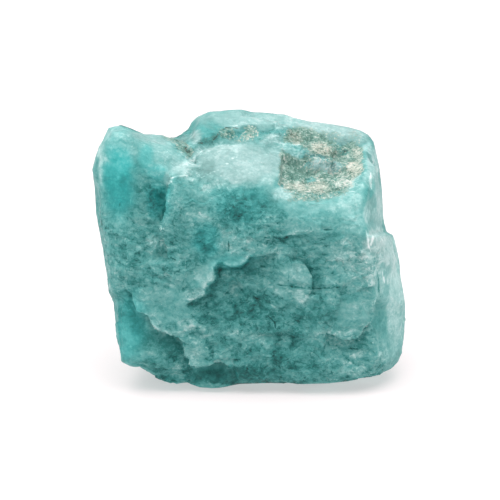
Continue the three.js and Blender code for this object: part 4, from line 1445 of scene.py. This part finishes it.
class NodeBench:
    """A small helper that adds shader nodes and joins them up."""

    def __init__(self, name: str) -> None:
        """Start an empty node material.

        Args:
            name: Name of the material.
        """
        self.material = bpy.data.materials.new(name)
        self.material.use_nodes = True
        self.tree = self.material.node_tree
        self.tree.nodes.clear()

    def add(self, kind: str, settings: dict | None = None, **inputs: object) -> bpy.types.Node:
        """Add one node.

        Args:
            kind: The node's type, without its ShaderNode prefix.
            settings: Plain properties of the node.
            **inputs: Values or output sockets for its inputs, with underscores for spaces, or i0, i1
                and so on for an input by its number.

        Returns:
            The node.
        """
        node = self.tree.nodes.new("ShaderNode" + kind)
        for key, value in (settings or {}).items():
            setattr(node, key, value)
        for key, value in inputs.items():
            socket = node.inputs[int(key[1:])] if key[1:].isdigit() else node.inputs[key.replace("_", " ")]
            if isinstance(value, Socket):
                self.tree.links.new(value, socket)
            else:
                socket.default_value = value
        return node

    def sum(self, *terms: object) -> Socket:
        """Add up sockets or numbers, one after another.

        Args:
            *terms: The sockets or numbers.

        Returns:
            Their sum.
        """
        total = terms[0]
        for term in terms[1:]:
            total = self.add("Math", {"operation": "ADD"}, i0=total, i1=term).outputs[0]
        return total

    def times(self, one: object, two: object) -> Socket:
        """Multiply two sockets or numbers."""
        return self.add("Math", {"operation": "MULTIPLY"}, i0=one, i1=two).outputs[0]

    def swing(self, value: object, amount: float) -> Socket:
        """Turn a value around 0.5 into a swing of this amount around 0."""
        return self.times(self.sum(value, -0.5), amount)

    def ease(self, value: object, low: float, high: float, to: Span = (0.0, 1.0)) -> Socket:
        """Map a value smoothly from the range low to high onto another range.

        Args:
            value: Socket or number.
            low: Value that gives the first end of the new range.
            high: Value that gives the second end.
            to: The new range.

        Returns:
            The eased value.
        """
        node = self.add("MapRange", {"interpolation_type": "SMOOTHSTEP"}, Value=value, From_Min=low,
                        From_Max=high, To_Min=to[0], To_Max=to[1])
        return node.outputs[0]

    def blend(self, share: object, one: object, two: object) -> Socket:
        """Mix two colours.

        Args:
            share: Share of the second colour.
            one: First colour, or a socket of it.
            two: Second colour, or a socket of it.

        Returns:
            The mixed colour.
        """
        node = self.add("Mix", {"data_type": "RGBA"}, i0=share)
        for socket, value in ((node.inputs[6], one), (node.inputs[7], two)):
            if isinstance(value, Socket):
                self.tree.links.new(value, socket)
            else:
                socket.default_value = (*value, 1.0)
        return node.outputs[2]

    def ramp(self, value: object, stops: Stops) -> Socket:
        """Turn a value into a colour through a row of stops.

        The value's range from the first to the last stop is squeezed into the ramp's own 0 to 1.

        Args:
            value: Socket of the value.
            stops: Pairs of a value and its colour, in rising order.

        Returns:
            The colour.
        """
        first, last = stops[0][0], stops[-1][0]
        share = self.add("MapRange", None, Value=value, From_Min=first, From_Max=last).outputs[0]
        node = self.add("ValToRGB", None, i0=share)
        band = node.color_ramp
        while len(band.elements) < len(stops):
            band.elements.new(1.0)
        for element, (position, colour) in zip(band.elements, stops):
            element.position = (position - first) / (last - first)
            element.color = (*colour, 1.0)
        return node.outputs[0]

    def attribute(self, name: str) -> Socket:
        """Read one of the stone's own attributes."""
        return self.add("Attribute", {"attribute_name": name}).outputs["Fac"]

    def stretched(self, vector: object, scale: tuple[float, float, float]) -> Socket:
        """Scale a place along each axis, so that a texture on it looks squeezed there."""
        return self.add("Mapping", None, Vector=vector, Scale=scale).outputs[0]

    def noise(self, vector: object, size: float, detail: float, rough: float) -> Socket:
        """Make a noise texture whose first octave has cells of this size in millimetres."""
        return self.add("TexNoise", None, Vector=vector, Scale=1.0 / (size * MM), Detail=detail,
                        Roughness=rough).outputs["Fac"]

    def chips(self, vector: object, size: float) -> tuple[Socket, Socket]:
        """Make little chips, each with its own level and its own tilted face.

        The rise of a chip's face is the dot product of the way from its middle and its own random colour.

        Args:
            vector: Places in metres.
            size: Mean width of a chip in millimetres.

        Returns:
            The level, between 0 and 1, and the rise in chip widths.
        """
        cells = self.add("TexVoronoi", None, Vector=vector, Scale=1.0 / (size * MM))
        way = self.add("VectorMath", {"operation": "SUBTRACT"}, i0=vector, i1=cells.outputs["Position"])
        tilt = self.add("VectorMath", {"operation": "SUBTRACT"}, i0=cells.outputs["Color"],
                        i1=(0.5, 0.5, 0.5))
        rise = self.add("VectorMath", {"operation": "DOT_PRODUCT"}, i0=way.outputs[0], i1=tilt.outputs[0])
        level = self.add("SeparateColor", None, Color=cells.outputs["Color"]).outputs[0]
        return level, self.times(rise.outputs["Value"], 1.0 / (size * MM))

    def stirred(self, vector: object, size: float, amount: float) -> Socket:
        """Push places about at random, so that a texture on them runs in ragged lines.

        Args:
            vector: Places in metres.
            size: Size of the swirls in millimetres.
            amount: The most that a place moves, in millimetres.

        Returns:
            The moved places.
        """
        swirl = self.add("TexNoise", None, Vector=vector, Scale=1.0 / (size * MM), Detail=2.0)
        push = self.add("VectorMath", {"operation": "SUBTRACT"}, i0=swirl.outputs["Color"],
                        i1=(0.5, 0.5, 0.5))
        reach = 2.0 * amount * MM
        return self.add("VectorMath", {"operation": "MULTIPLY_ADD"}, i0=push.outputs[0], i1=(reach,) * 3,
                        i2=vector).outputs[0]

    def flakes(self, value: object, count: float) -> Socket:
        """Cut a value into this many saw teeth, each of which rises from 0 to 1 and breaks off."""
        return self.add("Math", {"operation": "FRACT"}, i0=self.times(value, count)).outputs[0]

    def finish(self, surface: Socket) -> bpy.types.Material:
        """Join the shader to the output and return the material."""
        self.add("OutputMaterial", None, Surface=surface)
        return self.material


@dataclass(frozen=True)
class Textures:
    """The textures that the parts of the stone's finish share, as sockets."""

    place: Socket
    lying: Socket
    standing: Socket
    streaks: Socket
    grain: Socket
    flakes: Socket
    broad_level: Socket
    chip_level: Socket
    chip_rise: Socket
    level: Socket
    rise: Socket
    speck_level: Socket
    smooth: Socket
    pit: Socket

    @classmethod
    def on(cls, bench: NodeBench) -> Textures:
        """Make the textures, all on the working's own places.

        Lying textures are squeezed upright, so that they run along the broad face. Standing ones are
        squeezed along it. Streaks, flakes and the larger chips are stirred as well.

        Args:
            bench: The bench to make them on.

        Returns:
            The textures.
        """
        place = bench.add("Mapping", None, Vector=bench.add("TexCoord").outputs["Object"],
                          Location=(0.0, 0.0, FOOT_LEVEL * MM)).outputs[0]
        stirred = bench.stirred(place, size=2.2, amount=1.4)
        lying, standing = (bench.noise(bench.stretched(place, scale), size=3.2, detail=5, rough=0.85)
                           for scale in ((1.0, 1.0, 1.35), (2.4, 2.4, 0.6)))
        streaks = bench.noise(bench.stretched(stirred, (0.5, 0.5, 3.2)), size=2.4, detail=3, rough=0.7)
        grain = bench.noise(place, size=0.35, detail=2, rough=0.8)
        folds = bench.noise(bench.stretched(stirred, (1.0, 1.0, 1.7)), size=5.0, detail=3, rough=0.6)
        broad_level, _ = bench.chips(bench.stretched(stirred, (1.0, 1.0, 1.5)), size=2.2)
        chip_level, chip_rise = bench.chips(bench.stretched(stirred, (1.0, 1.0, 1.4)), size=1.0)
        level, rise = bench.chips(place, size=0.5)
        speck_level, _ = bench.chips(place, size=0.3)
        smooth = bench.attribute("smooth")
        dimples = bench.noise(bench.stretched(place, (1.0, 1.0, 1.2)), size=1.3, detail=3, rough=0.75)
        pit = bench.times(bench.ease(dimples, low=0.58, high=0.66), bench.ease(smooth, low=0.7, high=0.1))
        return cls(place, lying, standing, streaks, grain, bench.flakes(folds, count=9.0), broad_level,
                   chip_level, chip_rise, level, rise, speck_level, smooth, pit)


@dataclass(frozen=True)
class AmazoniteFinish:
    """Blue-green feldspar: mottled teal with pale veils, clean turquoise, and a brown granular stain."""

    tones: Stops = (
        (-0.3, (0.001, 0.040, 0.036)),
        (0.0, (0.003, 0.112, 0.104)),
        (0.25, (0.023, 0.212, 0.199)),
        (0.5, (0.080, 0.330, 0.315)),
        (0.75, (0.165, 0.430, 0.412)),
        (1.0, (0.370, 0.620, 0.600)),
        (1.3, (0.740, 0.860, 0.845)),
    )
    vivid: Stops = (
        (-0.3, (0.001, 0.070, 0.070)),
        (0.0, (0.006, 0.185, 0.180)),
        (0.5, (0.022, 0.335, 0.328)),
        (0.8, (0.060, 0.490, 0.480)),
        (1.0, (0.150, 0.580, 0.565)),
        (1.3, (0.440, 0.750, 0.730)),
    )
    chalk: Stops = (
        (0.0, (0.030, 0.140, 0.130)),
        (0.3, (0.105, 0.235, 0.222)),
        (0.6, (0.180, 0.350, 0.335)),
        (0.85, (0.290, 0.475, 0.462)),
        (1.05, (0.450, 0.620, 0.605)),
        (1.3, (0.740, 0.860, 0.845)),
    )
    stain: Stops = (
        (-0.3, (0.020, 0.060, 0.040)),
        (0.2, (0.072, 0.180, 0.140)),
        (0.5, (0.162, 0.305, 0.255)),
        (0.75, (0.320, 0.435, 0.375)),
        (1.0, (0.540, 0.605, 0.545)),
        (1.3, (0.720, 0.755, 0.700)),
    )
    blush: Stops = (
        (-0.3, (0.050, 0.060, 0.040)),
        (0.2, (0.130, 0.170, 0.120)),
        (0.5, (0.240, 0.310, 0.250)),
        (0.75, (0.410, 0.440, 0.365)),
        (1.0, (0.580, 0.590, 0.500)),
        (1.3, (0.740, 0.740, 0.660)),
    )
    crack: Colour = (0.020, 0.035, 0.020)
    # Swings of the tone with each texture, and how much of them smooth zones keep.
    lying_swing: float = 1.45
    standing_swing: float = 1.5
    broad_chip_swing: float = 0.12
    chip_swing: float = 0.2
    streak_swing: float = 0.7
    step_shade_swing: float = 0.2
    facet_swing: float = 0.14
    grain_swing: float = 0.25
    kept_on_smooth: float = 0.32
    # What single features add to the tone, among them a painted highlight along ledge edges and painted shade
    # under them and in pits.
    painted_edge_highlight: float = 0.14
    painted_foot_shade: float = -0.2
    in_vein: float = 0.4
    in_seam: float = -0.5
    in_fleck: float = 0.3
    painted_pit_shade: float = -0.25
    # Cover of the stain and of the cracks.
    stain_cover: float = 0.9
    crack_cover: float = 0.8
    # The bump that stands for grain too fine for the mesh, and the shader's own settings.
    bump_strength: float = 0.7
    bump_depth: float = 0.0003
    bump_on_smooth: float = 0.35
    refraction: float = 1.53
    specular: float = 0.3
    roughness: Span = (0.4, 0.55)
    stain_roughness: float = 0.2
    glow_within: float = 0.25
    glow_radius: Colour = (0.4, 1.0, 0.95)
    glow_scale: float = 0.0006

    def mottled(self, bench: NodeBench, cloth: Textures) -> Socket:
        """Mottle the tone, lying flat on the broad face and standing upright on the wing and at the right.

        Edges of ledges get a painted highlight and the ground under them painted shade. Veins and flecks are
        paler, seams darker, pits get painted shade, and the saw-tooth flakes paint the shade of little steps.

        Args:
            bench: The bench to work on.
            cloth: The shared textures.

        Returns:
            The tone.
        """
        upright, crest = bench.attribute("upright"), bench.attribute("crest")
        calm = bench.ease(cloth.smooth, 0.0, 1.0, (1.0, self.kept_on_smooth))
        lying = bench.times(bench.swing(cloth.lying, self.lying_swing),
                            bench.ease(upright, 0.2, 0.8, (1.0, 0.0)))
        standing = bench.times(bench.swing(cloth.standing, self.standing_swing),
                               bench.ease(upright, 0.2, 0.8))
        swings = bench.sum(lying, standing, bench.swing(cloth.broad_level, self.broad_chip_swing),
                           bench.swing(cloth.chip_level, self.chip_swing),
                           bench.swing(cloth.streaks, self.streak_swing))
        # painted highlight on the upper side of a sharp ledge's edge, and painted shade on the ground just
        # below it
        painted_edge_highlight = bench.times(bench.ease(crest, low=-1.0, high=-0.05),
                                bench.ease(crest, low=0.15, high=0.0))
        painted_foot_shade = bench.times(bench.ease(crest, low=0.05, high=0.25),
                                bench.ease(crest, low=1.2, high=0.3))
        vein = bench.sum(bench.attribute("vein"), bench.swing(cloth.grain, 1.6))
        seam = bench.sum(bench.attribute("seam"), bench.swing(cloth.grain, 1.2))
        fleck = bench.noise(cloth.place, size=0.9, detail=3, rough=0.9)
        return bench.sum(bench.attribute("tone"), bench.times(swings, calm),
                         bench.swing(cloth.level, self.facet_swing),
                         bench.swing(cloth.grain, self.grain_swing),
                         bench.times(painted_edge_highlight, self.painted_edge_highlight), bench.times(painted_foot_shade, self.painted_foot_shade),
                         bench.times(bench.ease(vein, low=1.5, high=0.4), self.in_vein),
                         bench.times(bench.ease(seam, low=1.9, high=0.5), self.in_seam),
                         bench.times(bench.ease(fleck, low=0.66, high=0.72), self.in_fleck),
                         # painted shade in the dimple pits
                         bench.times(cloth.pit, self.painted_pit_shade),
                         # saw-tooth flakes: painted shading of little cleavage steps, lighter up each step
                         # and dark where it breaks off
                         bench.times(bench.swing(cloth.flakes, self.step_shade_swing), calm))

    def body(self, bench: NodeBench, tone: Socket) -> Socket:
        """Colour the clean stone: the tone picks from the plain, the vivid and the chalky row.

        Args:
            bench: The bench to work on.
            tone: The mottled tone.

        Returns:
            The colour.
        """
        plain = bench.blend(bench.attribute("vivid"), bench.ramp(tone, self.tones),
                            bench.ramp(tone, self.vivid))
        return bench.blend(bench.attribute("chalky"), plain, bench.ramp(tone, self.chalk))

    def crust(self, bench: NodeBench, cloth: Textures) -> tuple[Socket, Socket]:
        """Colour the stain of green, brown and cream grains, and say where it lies, broken up by grain.

        Args:
            bench: The bench to work on.
            cloth: The shared textures.

        Returns:
            The colour, and the share of the stain at each place.
        """
        speck = bench.sum(bench.attribute("cream"), bench.swing(cloth.speck_level, 0.6),
                          bench.swing(cloth.lying, 0.8), bench.swing(cloth.chip_level, 0.35),
                          bench.swing(cloth.level, 0.2), bench.swing(cloth.grain, 1.0))
        colour = bench.blend(bench.attribute("blush"), bench.ramp(speck, self.stain),
                             bench.ramp(speck, self.blush))
        stain = bench.attribute("stain")
        ragged = bench.sum(stain, bench.swing(cloth.grain, 1.6), bench.swing(cloth.speck_level, 0.5))
        laid = bench.times(bench.ease(ragged, low=0.3, high=0.75), bench.ease(stain, low=0.02, high=0.2))
        return colour, laid

    def cracked(self, bench: NodeBench, cloth: Textures) -> Socket:
        """Find where the dark cracks run, with gaps in them.

        Args:
            bench: The bench to work on.
            cloth: The shared textures.

        Returns:
            The share of a crack at each place.
        """
        ragged = bench.sum(bench.attribute("crack"), bench.swing(cloth.grain, 2.5))
        gaps = bench.noise(cloth.place, size=0.9, detail=2, rough=0.6)
        return bench.times(bench.ease(ragged, low=1.6, high=0.6), bench.ease(gaps, low=0.4, high=0.55))

    def bump(self, bench: NodeBench, cloth: Textures, laid: Socket, crack: Socket) -> Socket:
        """Roughen the surface with facets, chips, grain and flakes, and with the stain's specks and cracks.

        Args:
            bench: The bench to work on.
            cloth: The shared textures.
            laid: Share of the stain.
            crack: Share of a crack.

        Returns:
            The normal.
        """
        rough = bench.sum(bench.times(cloth.rise, 0.35), bench.times(cloth.chip_rise, 0.6),
                          bench.times(cloth.lying, 0.9), bench.times(cloth.grain, 0.6),
                          bench.times(cloth.pit, -0.5), bench.times(cloth.flakes, 0.5))
        kept = bench.ease(cloth.smooth, 0.0, 1.0, (1.0, self.bump_on_smooth))
        specks = bench.times(bench.times(laid, cloth.speck_level), 0.35)
        height = bench.sum(bench.times(rough, kept), specks, bench.times(crack, -0.6))
        return bench.add("Bump", None, Strength=self.bump_strength, Distance=self.bump_depth,
                         Height=height).outputs[0]

    def material(self) -> bpy.types.Material:
        """Build the node material: the clean stone, with the stain and then the cracks laid over it.

        Returns:
            The material.
        """
        bench = NodeBench("amazonite")
        cloth = Textures.on(bench)
        body = self.body(bench, self.mottled(bench, cloth))
        crust, laid = self.crust(bench, cloth)
        crack = self.cracked(bench, cloth)
        stained = bench.blend(bench.times(laid, self.stain_cover), body, crust)
        colour = bench.blend(bench.times(crack, self.crack_cover), stained, self.crack)
        roughness = bench.sum(bench.ease(cloth.lying, 0.35, 0.65, self.roughness),
                              bench.times(laid, self.stain_roughness))
        shader = bench.add("BsdfPrincipled", None, Base_Color=colour, IOR=self.refraction,
                           Normal=self.bump(bench, cloth, laid, crack), Roughness=roughness)
        shader.inputs["Specular IOR Level"].default_value = self.specular
        shader.inputs["Subsurface Weight"].default_value = self.glow_within
        shader.inputs["Subsurface Radius"].default_value = self.glow_radius
        shader.inputs["Subsurface Scale"].default_value = self.glow_scale
        return bench.finish(shader.outputs[0])


@dataclass(frozen=True)
class LitTableFinish:
    """A plain white table of frosted glass, lit from below so that shadows on it stay light."""

    colour: Colour = (0.52, 0.455, 0.46)
    roughness: float = 0.9
    glow: float = 0.48

    def material(self) -> bpy.types.Material:
        """Build the plain material.

        Returns:
            The material.
        """
        bench = NodeBench("lit_table")
        shader = bench.add("BsdfPrincipled", None, Base_Color=(*self.colour, 1.0), Roughness=self.roughness,
                           Emission_Color=(1.0, 1.0, 1.0, 1.0), Emission_Strength=self.glow)
        return bench.finish(shader.outputs[0])


# ---- Studio ----


@dataclass(frozen=True)
class Lamp:
    """One square soft light that looks at the stone."""

    name: str
    place: tuple[float, float, float]
    size: float
    power: float
    target: tuple[float, float, float] = (0.0, 0.0, 0.02)

    def hang(self) -> None:
        """Hang the light at its place, in metres, turned towards its target."""
        lamp = bpy.data.lights.new(self.name, "AREA")
        lamp.size, lamp.energy = self.size, self.power
        holder = bpy.data.objects.new(self.name, lamp)
        holder.location = self.place
        aim = Vector(self.target) - holder.location
        holder.rotation_euler = aim.to_track_quat("-Z", "Y").to_euler()
        bpy.context.collection.objects.link(holder)


@dataclass(frozen=True)
class Studio:
    """Floor, soft lights, white surroundings and a long-lens camera."""

    floor_size: float = 3.0
    surroundings: float = 0.4
    camera_distance: float = 2.5
    picture_width: float = 0.080
    aim: Point = (-0.08, 17.99)
    lamps: tuple[Lamp, ...] = (
        Lamp("overhead", place=(-0.04, 0.02, 0.75), size=1.3, power=11.9),
        Lamp("left_fill", place=(-0.8, -0.25, 0.35), size=0.5, power=1.15),
        Lamp("right_fill", place=(0.85, -0.15, 0.4), size=0.5, power=1.15),
    )

    def floor(self) -> bpy.types.Object:
        """Lay the floor just under the stone's foot.

        Returns:
            The floor's object.
        """
        half = self.floor_size / 2
        mesh = bpy.data.meshes.new("floor")
        mesh.from_pydata([(-half, -half, 0), (half, -half, 0), (half, half, 0), (-half, half, 0)], [],
                         [(0, 1, 2, 3)])
        mesh.materials.append(LitTableFinish().material())
        floor = bpy.data.objects.new("floor", mesh)
        bpy.context.collection.objects.link(floor)
        return floor

    def camera(self) -> None:
        """Stand the camera 18 degrees above the table, so far off that its view is almost parallel."""
        lens = bpy.data.cameras.new("camera")
        lens.lens = lens.sensor_width * self.camera_distance / self.picture_width
        holder = bpy.data.objects.new("camera", lens)
        across, up = self.aim
        target = Vector((across, 0.0, up / math.cos(LEAN))) * MM
        back = Vector((0.0, -math.cos(LEAN), math.sin(LEAN)))
        holder.location = target + back * self.camera_distance
        holder.rotation_euler = (-back).to_track_quat("-Z", "Y").to_euler()
        bpy.context.collection.objects.link(holder)
        bpy.context.scene.camera = holder

    def set_up(self) -> bpy.types.Object:
        """Set up the whole studio.

        Returns:
            The floor's object.
        """
        scene = bpy.context.scene
        scene.view_settings.view_transform = "Standard"
        scene.world = bpy.data.worlds.new("white_room")
        scene.world.use_nodes = True
        background = scene.world.node_tree.nodes["Background"]
        background.inputs["Color"].default_value = (1, 1, 1, 1)
        background.inputs["Strength"].default_value = self.surroundings
        for lamp in self.lamps:
            lamp.hang()
        self.camera()
        return self.floor()


def main() -> None:
    """Build the stone and its studio, and report each piece."""
    logging.basicConfig(level=logging.INFO, format="%(name)s: %(message)s")
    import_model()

    floor = Studio().set_up()
    LOG.info("floor laid")

    maker = Stone()
    stone = maker.build("amazonite_surface")
    maker.dress(stone)
    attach(stone, "root")
    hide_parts("amazonite")
    LOG.info("%s: %d faces", stone.name, len(stone.data.polygons))


if __name__ == "__main__":
    main()
